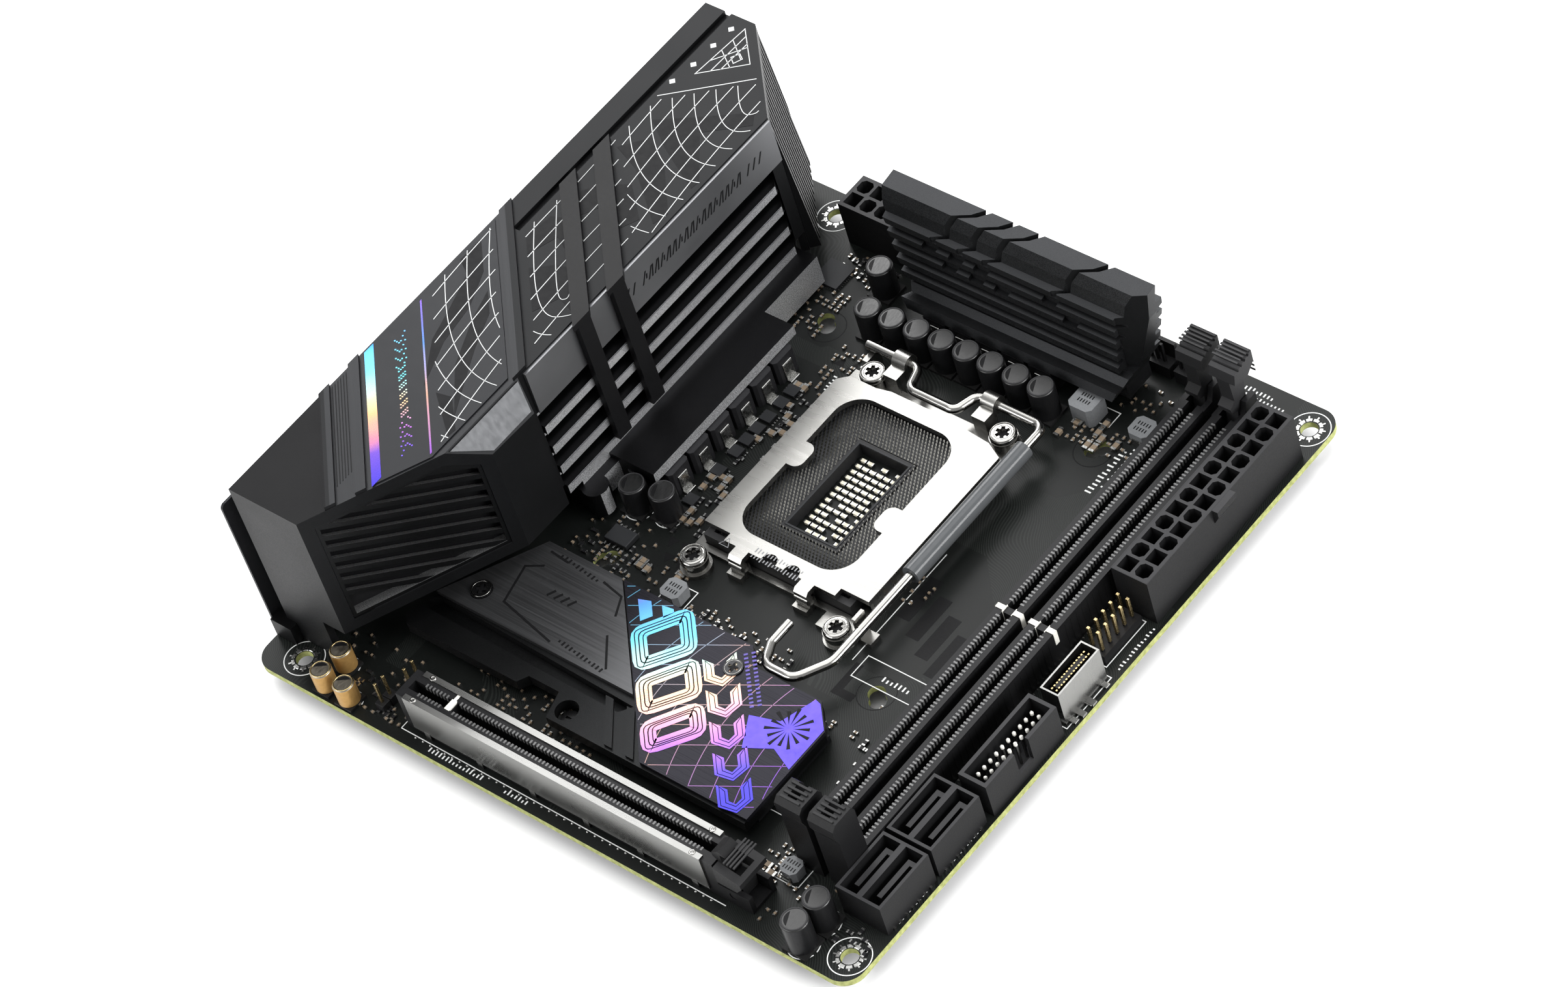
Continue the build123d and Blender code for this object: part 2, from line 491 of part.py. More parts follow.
uh_x0, uh_x1, uh_y0, uh_y1, uh_h = 161.9, 169.2, 48.9, 72.6, 9.6
b = box(uh_x0, uh_x1, uh_y0, uh_y1, T + seat, T + uh_h)
b = cut(b, [box(uh_x0 + 0.9, uh_x1 - 0.9, uh_y0 + 0.9, uh_y1 - 0.9, T + 1.4, T + uh_h + 1),
            box(uh_x1 - 1.5, uh_x1 + 1, uh_y0 + 9.6, uh_y0 + 14.2, T + 3.2, T + uh_h + 1)])
save("usb_header", b)
uh_pitch = 2.0
uh_pins = []
for i in range(10):
    for j in range(2):
        if i == 9 and j == 1:
            continue
        cx = (uh_x0 + uh_x1) / 2 + (j - 0.5) * uh_pitch
        cy = (uh_y0 + uh_y1) / 2 + (i - 4.5) * uh_pitch
        uh_pins.append(box(cx - 0.25, cx + 0.25, cy - 0.25, cy + 0.25, T + 1.4 + seat, T + uh_h - 1.4))
save("usb_header_pins", uh_pins)

ue_x0, ue_x1, ue_y0, ue_y1, ue_h = 163.2, 168.0, 74.8, 88.8, 9.8
shell = box(ue_x0, ue_x1, ue_y0, ue_y1, T + seat, T + ue_h)
shell = cut(shell, [box(ue_x0 + 0.4, ue_x1 - 0.4, ue_y0 + 0.4, ue_y1 - 0.4, T - 1, T + ue_h + 1)])
shell = shell.fuse(box(ue_x1 - 0.2, ue_x1 + 1.9, ue_y0 + 3.2, ue_y0 + 4.6, T + seat, T + 0.7),
                   box(ue_x1 - 0.2, ue_x1 + 1.9, ue_y0 + 6.6, ue_y0 + 8.0, T + seat, T + 0.7))
save("usb_c_header_shell", shell)
core = box(ue_x0 + 0.42, ue_x1 - 0.42, ue_y0 + 0.42, ue_y1 - 0.42, T + seat, T + 1.8)
core = core.fuse(box((ue_x0 + ue_x1) / 2 - 0.7, (ue_x0 + ue_x1) / 2 + 0.7, ue_y0 + 2.2, ue_y1 - 2.2,
                     T + 1.6, T + ue_h - 1.0))
save("usb_c_header_core", core)

fp_x0, fp_y0, fp_pitch = 160.4, 91.6, 2.54
base = box(fp_x0, fp_x0 + 2 * fp_pitch, fp_y0, fp_y0 + 5 * fp_pitch, T + seat, T + 2.5)
fpp = [box(fp_x0 + (j + 0.5) * fp_pitch - 0.32, fp_x0 + (j + 0.5) * fp_pitch + 0.32,
           fp_y0 + (i + 0.5) * fp_pitch - 0.32, fp_y0 + (i + 0.5) * fp_pitch + 0.32, T + 2.4, T + 8.6)
       for i in range(5) for j in range(2) if not (i == 4 and j == 1)]
save("front_panel_header", base.fuse(*fpp))

fan_headers = []
for x, y in ((128.6, 162.6), (136.6, 162.6)):
    fh = box(x - 5.1, x + 5.1 - 3.4, y - 1.6, y + 1.6, T + seat, T + 3.4)
    fh = fh.fuse(box(x - 5.1, x + 5.1 - 3.4, y + 1.5, y + 2.4, T + seat, T + 8.0))
    fan_headers.append(fh.fuse(*[box(x - 4.3 + k * 1.75, x - 3.7 + k * 1.75, y - 0.3, y + 0.3, T + 3.2,
                                     T + 8.8) for k in range(3)]))
save("fan_headers", fan_headers)

# ================================================================ cover over the rear sockets
cov_out = [cov_a, cov_b, cov_c, cov_c2, cov_c3, cov_d, cov_e, cov_f, cov_g]
band_z = cover_top - band_h
outer = plan(cov_out, cover_low, cover_top)
inner_face = offset(make_face(Polyline(*cov_out, close=True)), amount=-cover_t, kind=Kind.INTERSECTION)
hollow = Pos(0, 0, cover_low - 1) * extrude(inner_face, amount=cover_top - cover_t - cover_low + 1)
drop_x = cov_c[0] - plaque_top_x
slope = (cover_top - plaque_low_z) / drop_x
wedge = side_xz([(plaque_top_x, cover_top), (plaque_top_x, cover_top + 2), (cov_c[0] + 4, cover_top + 2),
                 (cov_c[0] + 4, plaque_low_z - 4 * slope)], cov_b[1], cov_c3[1] + 0.4)
wedge_in = Pos(-cover_t * 1.3, 0, -cover_t * 0.6) * side_xz(
    [(plaque_top_x, cover_top), (plaque_top_x, cover_top + 4), (cov_c[0] + 6, cover_top + 4),
     (cov_c[0] + 6, plaque_low_z - 6 * slope)], cov_b[1], cov_c3[1] + 0.4)
cover = outer.cut(wedge).cut(hollow.cut(wedge_in))
end_sum = cov_d[0] + cov_d[1] - (cover_t + 0.4) * math.sqrt(2)   # inner face of the 45 degree end, x + y
shield_gap = 0.3
cover = cut(cover, [
    # open front below the band, where the fins stand
    plan([(rear_sink_x0 - 4, cov_c3[1] + 1.2), (cov_c[0] + 16, cov_c3[1] + 1.2),
          (cov_c[0] + 16, end_sum - cov_c[0]), (cov_c[0], end_sum - cov_c[0]),
          (rear_sink_x0 - 4, end_sum - rear_sink_x0 + 4)], 0, band_z),
    # open rear above the sockets
    box(-5, cov_a[0] + cover_t + 0.5, cov_a[1] + cover_t, board_y - cover_t, 0, shield_z1 + shield_gap),
    # shadow groove between the rear rail and the top panel
    box(9.2, 11.2, rail_y0, board_y + 1, cover_top - 1.1, cover_top + 1),
    # low front of the end wall clears the board parts
])
legs = [box(cov_a[0], 17.0, cov_a[1], cov_a[1] + cover_t, T + 0.4, cover_low + 1),
        box(cov_a[0], 17.0, board_y - cover_t, board_y, T + 0.4, cover_low + 1),
        box(0.2, 6.4, cov_a[1] - 2.2, cov_a[1] + cover_t, T + 0.4, T + 5.6)]
end_out, end_z0, end_rib_pitch = 2.6, 8.0, 2.3
en = (math.sqrt(0.5), math.sqrt(0.5))
end_len = math.hypot(cov_d[0] - cov_f[0], cov_d[1] - cov_f[1])
ends = []
for k in range(int(end_len / end_rib_pitch) + 1):
    u = (k + 0.5) * end_rib_pitch
    if u > end_len - 0.4:
        break
    rx, ry = cov_d[0] + (cov_f[0] - cov_d[0]) * u / end_len, cov_d[1] + (cov_f[1] - cov_d[1]) * u / end_len
    prof = [(-1.2, cover_top - 2.0), (0.0, cover_top - 2.0), (end_out, end_z0), (-1.2, end_z0)]
    w = 0.55
    pts3 = [(rx + en[0] * a + en[0] * w, ry + en[1] * a - en[1] * w, zz) for a, zz in prof]
    ends.append(poly(pts3, (-2 * en[0] * w, 2 * en[1] * w, 0)))
backing = plan([cov_d, cov_f, (cov_f[0] - 1.3, cov_f[1] - 1.3), (cov_d[0] - 1.3, cov_d[1] - 1.3)], end_z0,
               cover_low + 2)
cover = joined([cover] + legs + [backing] + ends)
cover = cut(cover, [box(-10, 60, board_y, board_y + 20, 0, 60)])

# raised ribs across the top panel, at 45 degrees
rib_w, rib_h = 2.4, 0.9


def diagonal(y_rear, x0, x1, w, z0, z1):
    """A strip that starts at the rear edge at y_rear and runs forward and down the board at 45 deg."""
    d = w * math.sqrt(2) / 2
    return plan([(x0, y_rear - d - (x0 - cov_a[0])), (x1, y_rear - d - (x1 - cov_a[0])),
                 (x1, y_rear + d - (x1 - cov_a[0])), (x0, y_rear + d - (x0 - cov_a[0]))], z0, z1)


inside = plan([(cov_a[0] + 0.1, cov_a[1] + 0.1), (cov_b[0] - 0.1, cov_b[1] + 0.1),
               (plaque_top_x - 0.15, cov_c[1] - 8.4), (plaque_top_x - 0.15, cov_d[1]),
               (cov_e[0], cov_e[1] - 0.1), (cov_f[0], cov_f[1] - 0.1), (cov_a[0] + 0.1, cov_g[1] - 0.1)],
              cover_top - 0.1, cover_top + 4)
rib_y = (41.2, 50.7)
for yr in rib_y:
    strip = diagonal(yr, cov_a[0], cov_b[0] + 14, rib_w, cover_top - 0.1, cover_top + rib_h)
    cover = cover.fuse(*common(strip, inside))
plaque_rib_y = 101.1
strip = diagonal(plaque_rib_y, cov_a[0], plaque_top_x, 3.0, cover_top - 0.1, cover_top + rib_h)
cover = cover.fuse(*common(strip, inside))

# louvre opening in the slanted wall
lv_len = math.hypot(cov_c[0] - cov_b[0], cov_c[1] - cov_b[1])
lv_ang = math.degrees(math.atan2(cov_c[1] - cov_b[1], cov_c[0] - cov_b[0]))
lv_outline = [(3.2, louvre_low), (lv_len - 3.0, louvre_low), (lv_len - 3.0, plaque_low_z - 1.2),
              (lv_len - 10.4, cover_top - 3.2), (3.2, cover_top - 3.2)]


def wall_prism(points, depth0, depth1):
    """Prism in the slanted wall: points are (distance along the wall, height)."""
    p = poly([(u, -depth1, z) for u, z in points], (0, depth1 - depth0, 0))
    return Pos(cov_b[0], cov_b[1], 0) * Rot(0, 0, lv_ang) * p


cover = cover.cut(wall_prism(lv_outline, -3.5, 1.0))
save("rear_cover", cover)


def inset(points, d):
    cx = sum(p[0] for p in points) / len(points)
    cz = sum(p[1] for p in points) / len(points)
    out = []
    for u, z in points:
        out.append((u + (d if u < cx else -d), z + (d if z < cz else -d)))
    return out


lv_fit = inset(lv_outline, 0.05)
lv_in = inset(lv_outline, 0.9)
ring_lv = wall_prism(lv_fit, -2.6, -0.3).cut(wall_prism(lv_in, -4, 1.5))
slat_pitch, slat_t, slat_drop = 3.6, 1.2, 22.0
slats = []
core_lv = wall_prism(inset(lv_outline, 0.5), -2.4, -0.4)
for k in range(-1, 14):
    zc = louvre_low - 8 + slat_pitch * (k + 1)
    bar = Pos(lv_len / 2, 1.4, zc + 8) * Rot(0, slat_drop, 0) * Rot(-28, 0, 0) * Box(90, 3.4, slat_t)
    bar = Pos(cov_b[0], cov_b[1], 0) * Rot(0, 0, lv_ang) * bar
    slats += [s for s in common(bar, core_lv) if s.volume > 1.0]
save("louvre_grille", joined([ring_lv] + slats))

# badge plate on the sloping corner, and the light band along the front
pl_n = Vector(slope, 0, 1).normalized()
badge_t = 0.5
pl_pts = [(plaque_top_x + 0.25, cov_c[1] - 7.2), (plaque_top_x + 0.25, cov_c3[1] - 0.7),
          (cov_c[0] - 0.3, cov_c2[1] - 0.5), (cov_c[0] - 0.3, cov_c[1] + 0.6)]
badge_pts = [Vector(x, y, cover_top - (x - plaque_top_x) * slope) + pl_n * seat for x, y in pl_pts]
save("cover_badge", poly([tuple(p) for p in badge_pts], tuple(pl_n * badge_t)))

band_t = 0.8
band = box(cov_d[0] + seat, cov_d[0] + band_t, cov_c3[1] + 1.6, cov_d[1] - 0.3, band_z + 0.3,
           cover_top - 0.4)
save("cover_band", band)

# black bars that cross the top panel and drop down the front over the fins
bar_w, bar_t = 3.9, 1.6
bar_rear_y = (121.4, 132.8)
bars = []
for yr in bar_rear_y:
    top = diagonal(yr, 11.4, cov_d[0] + band_t + 0.3 + bar_t, bar_w, cover_top + seat, cover_top + bar_t)
    yf = yr - (cov_d[0] + band_t + 0.3 - cov_a[0])
    front = box(cov_d[0] + band_t + 0.3, cov_d[0] + band_t + 0.3 + bar_t,
                yf - bar_w / 2 - 0.9, yf + bar_w / 2 - 0.9, rear_sink_low + fin_t + 0.2, cover_top + bar_t)
    bars.append(top.fuse(front))
save("cover_bars", bars)

# printed inlay on the top panel
inlay_t = 0.3
label_gap = 2.6
label_mid = (rib_y[1] + plaque_rib_y) / 2
label_w = (plaque_rib_y - rib_y[1]) / math.sqrt(2) - 2 * label_gap
strip_a = diagonal(label_mid, cov_a[0] + 0.5, plaque_top_x - 0.9, label_w, cover_top + seat,
                   cover_top + inlay_t)
lim = plan([(cov_a[0] + 0.4, cov_a[1] + 1), (cov_b[0] - 0.4, cov_a[1] + 1), (plaque_top_x - 1.6, cov_c[1] - 10.4),
            (plaque_top_x - 1.6, 70.0), (cov_a[0] + 0.4, 120)], cover_top, cover_top + 3)
save("cover_label", common(strip_a, lim))

# ================================================================ rear heatsink
stage_z1 = T + 1.2
pad_t = 0.5
fin_z = []
fin_room = (band_z - rear_sink_low) / fin_count
fin_sum = end_sum - 0.6
fin_y1 = cov_e[1] - 4.5
fin_plan = [(rear_sink_x0, fin_y0), (rear_sink_x1, fin_y0), (rear_sink_x1, fin_sum - rear_sink_x1),
            (fin_sum - fin_y1, fin_y1), (rear_sink_x0, fin_y1)]
sink = box(rear_sink_x0, rear_sink_x1 - 6.4, fin_y0, cov_d[1] - 2, rear_sink_low - 0.1, band_z + 4)
sink = sink.fuse(plan([(rear_sink_x0, cov_d[1] - 6), (rear_sink_x1 - 6.4, cov_d[1] - 6),
                       (rear_sink_x1 - 6.4, cov_d[1] - 2), (rear_sink_x0, cov_d[1] + 5)],
                      rear_sink_low - 0.1, band_z))
for k in range(fin_count):
    z1 = band_z - (fin_room - fin_t) - k * fin_room
    fin_z.append((z1 - fin_t, z1))
    sink = sink.fuse(plan(fin_plan, z1 - fin_t, z1))
    sink = sink.fuse(box(rear_sink_x0, rear_sink_x1 - 2.6, fin_y0 + 0.6, cov_d[1] - 2,
                         z1 + 1.2, z1 + 2.0))
sink = sink.fuse(box(rear_sink_x0, rear_base_x1, rear_base_y0, rear_base_y1,
                     rear_sink_low - rear_base_t, rear_sink_low))
sink = sink.fuse(box(rear_sink_x0, 44.6, rear_base_y0, cov_d[1] - 3, stage_z1 + pad_t, rear_sink_low))
sink = sink.fuse(box(rear_sink_x0, rear_sink_x1, fin_y0 + 4, rear_base_y0 + 1, stage_z1 + pad_t,
                     rear_sink_low))
post_xy = sink_post_xy[:2]
bx_, by_ = post_xy[0]
sink = sink.fuse(cyl(bx_, by_, stage_z1 + pad_t, rear_sink_low - 1.3, sink_boss_r),
                 box(rear_sink_x1 - 4, bx_, by_ - 2.6, rear_base_y0 + 1, stage_z1 + pad_t + 1, rear_sink_low - 1.3))
sink = cut(sink, [cyl(x, y, 0, rear_sink_low - 2.6, 1.2 + seat) for x, y in post_xy])
save("rear_heatsink", sink)

stage_pitch = 7.25
choke_y = [85.0 + stage_pitch * k for k in range(6)]
choke_len = 6.4
chokes = []
for y in choke_y:
    c = box(46.2, 54.6, y - choke_len / 2, y + choke_len / 2, T + seat, T + 7.0)
    chokes.append(chamfer(c.edges().filter_by(Axis.Z), 0.7))
stages = [box(34.0, 40.0, y - 2.6, y + 2.6, T + seat, stage_z1) for y in choke_y]
pads = [box(33.0, 41.0, choke_y[0] - 4, choke_y[-1] + 4, stage_z1 + seat, stage_z1 + pad_t - seat)]
driver_y = (82.6, 92.0, 98.1, 101.9, 105.5, 109.3, 113.9, 117.8)
drivers = [box(56.4, 59.6, y - 1.4, y + 1.4, T + seat, T + 1.0) for y in driver_y]

# ================================================================ side heatsink
side_front = [(side_y1, side_top), (side_ridge_y, side_top - 0.7), (154.6, side_top - 4.0),
              (154.2, side_top - 7.4)]
z = side_top - 7.4
y = 154.2
fin_out = 1.5
pts = list(side_front)
for k in range(side_fins):
    pts += [(y - fin_out, z - 0.5), (y - fin_out, z - side_fin_t), (y + 0.2, z - side_fin_t - 0.1),
            (y + 0.2, z - side_fin_t - side_fin_gap)]
    z -= side_fin_t + side_fin_gap
    y -= 0.55
side_low = 8.2
pts += [(y - 0.6, z - 0.2), (y - 2.2, z - 1.4), (146.6, side_low + 2.0), (145.6, side_low)]
under_y = 151.0
pts += [(under_y, side_low), (under_y, T + 2.0), (side_y1 - 1.0, T + 2.0), (side_y1 - 1.0, side_low + 3)]
zb = side_low + 3
for k in range(5):
    pts += [(side_y1 + 1.4, zb + 0.3), (side_y1 + 1.4, zb + 2.3), (side_y1 - 0.6, zb + 2.6),
            (side_y1 - 0.6, zb + 4.0)]
    zb += 4.0
block = side_yz(pts, side_x0, side_x1)
trim_l = side_xz([(side_x0 - 1, side_top + 1), (side_x0, side_top + 1), (side_x0, side_top - 6),
                  (side_x0 + 4.6, 12.0), (side_x0 + 8.8, side_low - 0.5), (side_x0 + 8.8, 0),
                  (side_x0 - 1, 0)], 140, 170)
trim_r = side_xz([(side_x1 + 1, side_top + 1), (side_x1, side_top + 1), (side_x1 - 1.0, side_top - 8.0),
                  (side_x1 - 4.6, 13.0), (side_x1 - 7.0, side_low - 0.5), (side_x1 - 7.0, 0),
                  (side_x1 + 1, 0)], 140, 170)
nose = plan([(side_x1 - 7.6, 140), (side_x1 + 1, 140), (side_x1 + 1, side_y1 - 2.2),
             (side_x1 - 7.6, 153.2)], side_low + 3.4, side_top + 2)
block = cut(block, [trim_l, trim_r, nose])
# curved slanting grooves across the top
gx0 = (78.0, 85.5, 92.5, 111.5)
for gx in gx0:
    lead = [(gx + 12.0, side_y1 + 2), (gx + 7.4, side_y1 - 2.4), (gx + 1.4, side_ridge_y - 1.0),
            (gx - 2.2, 153.0), (gx - 3.8, 149.0)]
    gw = 1.7
    groove = plan(lead + [(x + gw, yy) for x, yy in reversed(lead)], side_top - 9.2, side_top + 1)
    shallow = plan([(x0 - 1, yy) for x0, yy in lead[:0]] or
                   [(gx - 6, side_ridge_y + 0.4), (gx + 16, side_ridge_y + 0.4), (gx + 16, side_y1 + 3),
                    (gx - 6, side_y1 + 3)], side_top - 12, side_top - 2.2)
    block = block.cut(groove.cut(shallow))
# chequered notches in the upper fins
notch_w = 4.0
for gx in gx0:
    for k in range(2):
        zz = side_top - 7.4 - (k + 1) * (side_fin_t + side_fin_gap) + side_fin_gap
        xx = gx - 5.0 + (k % 2) * 5.4
        block = block.cut(box(xx, xx + notch_w, 149.0, 154.0 - 0.55 * (k + 1), zz - side_fin_t - 0.1,
                              zz + 0.1))
side_posts = sink_post_xy[2:]
block = cut(block, [cyl(x, yy, 0, side_low, 1.2 + seat) for x, yy in side_posts])
save("side_heatsink", block)
side_pitch, side_first = 7.4, 77.5
side_x = [side_first + side_pitch * k for k in range(6)]
stages += [box(x - 2.5, x + 2.5, 152.4, 157.6, T + seat, stage_z1) for x in side_x[1:]]
save("power_stages", stages)
pads.append(box(80.5, 117.5, 152.0, 158.0, stage_z1 + seat, T + 2.0 - seat))
chokes += [box(x - 3.1, x + 3.1, 145.6, 150.6, T + seat, T + 6.2) for x in side_x[:5]]
save("power_chokes", chokes)

sink_screws = []
for x, yy in post_xy + side_posts:
    sink_screws.append(cyl(x, yy, -1.4, 0 - seat, 2.6).fuse(cyl(x, yy, -0.5, T + 5.4, 1.2)))
save("heatsink_screws", sink_screws)

# ================================================================ drive heatsink
far_y, near_y = 55.4, 19.6
low_plan = [(27.0, 27.2), (26.2, 24.4), (28.2, 22.6), (60.5, 22.6), (62.0, 25.2), (70.6, 25.2),
            (72.6, 18.6), (128.2, 18.6), (128.2, 45.2), (122.6, 51.0), (104.0, 51.0), (100.2, far_y),
            (42.4, far_y), (30.2, 35.0)]
low = plan(low_plan, T + 2.6, m2_low_top)
trench = plan([(26.0, 28.2), (85.5, 27.4), (87.6, 30.2), (30.4, 32.0)], m2_low_top - 2.4, m2_low_top + 1)
low = cut(low, [trench, cyl(75.4, 22.3, 0, 20, 2.7)])
for k in range(2):
    xr = 80.6 + 6.0 * k
    rib = plan([(xr, 29.4), (xr + 2.2, 29.4), (xr + 10.4, 19.2), (xr + 8.2, 19.2)], m2_low_top - 0.2,
               m2_low_top + 0.55)
    low = low.fuse(rib)
m2_screw_xy = ((37.6, 37.4), (100.6, 50.0 - 1.6), (75.4, 22.3))
low = cut(low, [cyl(x, yy, 0, 20, 1.3) for x, yy in m2_screw_xy[:2]])
save("drive_heatsink_base", low)
up_plan = [(28.8, 32.2), (86.0, 32.2), (63.2, far_y - 0.2), (42.0, far_y - 0.2)]
upper = plan(up_plan, m2_low_top + seat, m2_top)
upper = cut(upper, [cyl(m2_screw_xy[0][0], m2_screw_xy[0][1], 0, 20, 1.35),
                    cyl(m2_screw_xy[0][0], m2_screw_xy[0][1], m2_top - 0.45, 20, 2.6)])
save("drive_cover_plate", upper)
pr_plan = [(86.5, 32.2), (99.0, 19.2), (128.6, 19.2), (128.6, 45.0), (122.8, 51.0), (104.2, 51.0),
           (100.4, far_y - 0.2), (63.7, far_y - 0.2)]
printed = plan(pr_plan, m2_low_top + seat, m2_print_top)
printed = cut(printed, [cyl(m2_screw_xy[1][0], m2_screw_xy[1][1], 0, 20, 1.35),
                        cyl(m2_screw_xy[1][0], m2_screw_xy[1][1], m2_print_top - 0.5, 20, 2.3)])
save("drive_print_plate", printed)
ms = []
for (x, yy), zt, r in ((m2_screw_xy[0], m2_top, 2.5), (m2_screw_xy[1], m2_print_top, 2.2)):
    s = cyl(x, yy, zt - 0.42, zt + 0.35, r).fuse(cyl(x, yy, T + seat, zt - 0.3, 1.15))
    ms.append(s.cut(Pos(x, yy, zt + 0.35) * Box(2.6, 0.6, 1.0), Pos(x, yy, zt + 0.35) * Box(0.6, 2.6, 1.0)))
x, yy = m2_screw_xy[2]
ms.append(cyl(x, yy, T + seat, T + 2.4, 2.2).cut(Pos(x, yy, T + 2.4) * Box(2.4, 0.6, 1.0)))
save("drive_heatsink_screws", ms)
save("chipset", box(103.0, 127.0, 23.0, 47.0, T + seat, T + 2.0))
pads.append(box(104.0, 126.0, 24.0, 46.0, T + 2.0 + seat, T + 2.6 - seat))
save("thermal_pads", pads)
m2s = box(40.4, 48.8, 33.4, 55.0, T + seat, T + 2.5)
m2s = cut(m2s, [box(47.4, 49.0, 34.0, 54.4, T + 0.9, T + 1.9)])

# ================================================================ capacitors
def can(x, y, r, h):
    c = cyl(x, y, T + 0.7, T + h, r)
    c = fillet(c.edges().sort_by(Axis.Z)[-1], 0.45)
    foot = box(x - r, x + r, y - r, y + r, T + seat, T + 0.75)
    return c.fuse(foot)


row = [(63.6, 140.2), (70.5, 140.3), (77.4, 140.5), (84.3, 140.6), (91.2, 140.7), (98.1, 140.6),
       (105.2, 140.5), (112.2, 140.4)]
save("board_capacitors", [can(x, yy, 3.15, 9.0) for x, yy in row] + [
                          can(58.1, 151.1, 3.15, 9.0), can(155.4, 10.2, 3.15, 9.0), can(155.0, 3.7, 3.15, 9.0),
                          can(48.9, 75.6, 3.15, 8.4), can(56.3, 77.2, 3.15, 8.4)])
save("audio_capacitors", [can(20.5, 9.4, 2.5, 6.4), can(20.4, 3.1, 2.5, 6.4), can(27.5, 2.8, 2.5, 6.4)])

# ================================================================ grey power inductors and chips
ind = []
for x, yy, s, h in ((120.6, 144.6, 6.4, 5.2), (135.0, 145.2, 5.4, 3.2), (141.9, 16.6, 4.4, 2.8),
                    (72.4, 60.4, 5.2, 3.0)):
    i = box(x - s / 2, x + s / 2, yy - s / 2, yy + s / 2, T + seat, T + h)
    ind.append(chamfer(i.edges().filter_by(Axis.Z), 1.0))
save("power_inductors", ind)
chips = [(44.2, 149.3, 7.0, 7.0, 0.9), (30.6, 61.0, 5.0, 5.0, 0.9)]
save("control_chips", drivers + [box(x - a / 2, x + a / 2, yy - b / 2, yy + b / 2, T + seat, T + h)
                                 for x, yy, a, b, h in chips])

# ================================================================ rear sockets and shield
port_x0 = shield_x0 + shield_t + 0.05
ports = {}


def port_box(x1, y0, y1, z0, z1):
    return box(port_x0, x1, y0, y1, z0, z1)


# audio sockets: a block with three round entries
au_y = (16.0, 28.6)
audio = port_box(13.0, au_y[0], au_y[1], T + seat, T + 35.0)
aj_z = [T + 6.2 + 11.6 * k for k in range(3)]
audio = cut(audio, [cyl_x(-9, 10.5, sum(au_y) / 2, zz, 1.85) for zz in aj_z])
save("audio_sockets", audio)

usb_y = ((31.0, 45.4), (47.4, 61.8), (105.0, 119.4))
usb_rows = (3, 3, 2)
usb_row_pitch, usb_open_h, usb_depth = 9.2, 5.2, 10.8
usb_stacks = []
for (a, b), rows in zip(usb_y, usb_rows):
    stack_h = rows * usb_row_pitch + 1.0
    st = port_box(17.5, a, b, T + seat, T + stack_h)
    floors = [T + 2.4 + usb_row_pitch * k for k in range(rows)]
    st = cut(st, [box(-9, usb_depth, a + 0.75, b - 0.75, zb, zb + usb_open_h) for zb in floors])
    st = st.fuse(*[box(-0.2, 11.5, a + 1.4, b - 1.4, zb + 2.9, zb + 4.75) for zb in floors])
    usb_stacks.append(st)
save("usb_sockets", usb_stacks)

lan_y = (64.6, 81.4)
lan = port_box(21.0, lan_y[0], lan_y[1], T + seat, T + 13.8)
lan = cut(lan, [box(-9, 12.5, lan_y[0] + 2.5, lan_y[1] - 2.5, T + 3.6, T + 10.6),
                box(-9, 12.5, lan_y[0] + 5.2, lan_y[1] - 5.2, T + 2.0, T + 3.8)])
save("network_socket", lan)
usbc = port_box(10.6, 68.4, 77.6, T + 15.0, T + 18.5)
usbc = cut(usbc, [box(-9, 6.4, 68.9, 77.1, T + 15.45, T + 18.05)])
usbc = usbc.fuse(box(0.6, 6.6, 69.7, 76.3, T + 16.4, T + 17.1), box(6.6, 12.0, 67.0, 79.0, T + 13.8 + seat, T + 18.5))
save("usb_c_socket", usbc)

dp_y = (84.4, 102.4)
disp = port_box(19.0, dp_y[0], dp_y[1], T + seat, T + 16.4)
disp = cut(disp, [box(-9, 9.0, dp_y[0] + 1.6, dp_y[1] - 1.6, T + 2.0, T + 6.9),
                  box(-9, 9.0, dp_y[0] + 1.9, dp_y[1] - 1.9, T + 9.9, T + 14.6)])
disp = disp.fuse(box(0.8, 9.5, dp_y[0] + 4.0, dp_y[1] - 4.0, T + 4.0, T + 5.2),
                 box(0.8, 9.5, dp_y[0] + 4.0, dp_y[1] - 4.0, T + 11.9, T + 13.1))
save("display_sockets", disp)

wifi_y, wifi_z = (142.0, 154.0), T + 9.0
wifi = box(1.0, 14.0, 138.5, 157.5, T + seat, T + 14.0)
ant = []
for yy in wifi_y:
    ant.append(cyl_x(1.0 - 0.2, 4.0, yy, wifi_z, 4.4))
    ant.append(cyl_x(-9.4, 1.2, yy, wifi_z, 3.1))
wifi = joined([wifi] + ant)
wifi = cut(wifi, [cyl_x(-12, -5.0, yy, wifi_z, 2.1) for yy in wifi_y])
wifi = joined([wifi] + [cyl_x(-8.6, -4.8, yy, wifi_z, 0.5) for yy in wifi_y])
save("wireless_module", wifi)

# flash button: slides in its switch housing
bt_y, bt_z = 127.2, T + 6.0
switch = box(2.4, 9.0, bt_y - 3.6, bt_y + 3.6, T + seat, T + 9.6)
switch = cut(switch, [cyl_x(1.0, 4.4, bt_y, bt_z, 1.2 + gap_fit)])
save("flash_switch", switch)
button = cyl_x(shield_x0 - 0.9, shield_x0 + shield_t + 1.0, bt_y, bt_z, button_r)
save("flash_button", button.fuse(cyl_x(shield_x0 + shield_t + 0.9, 4.4 - button_travel - 0.2, bt_y, bt_z, 1.2)))

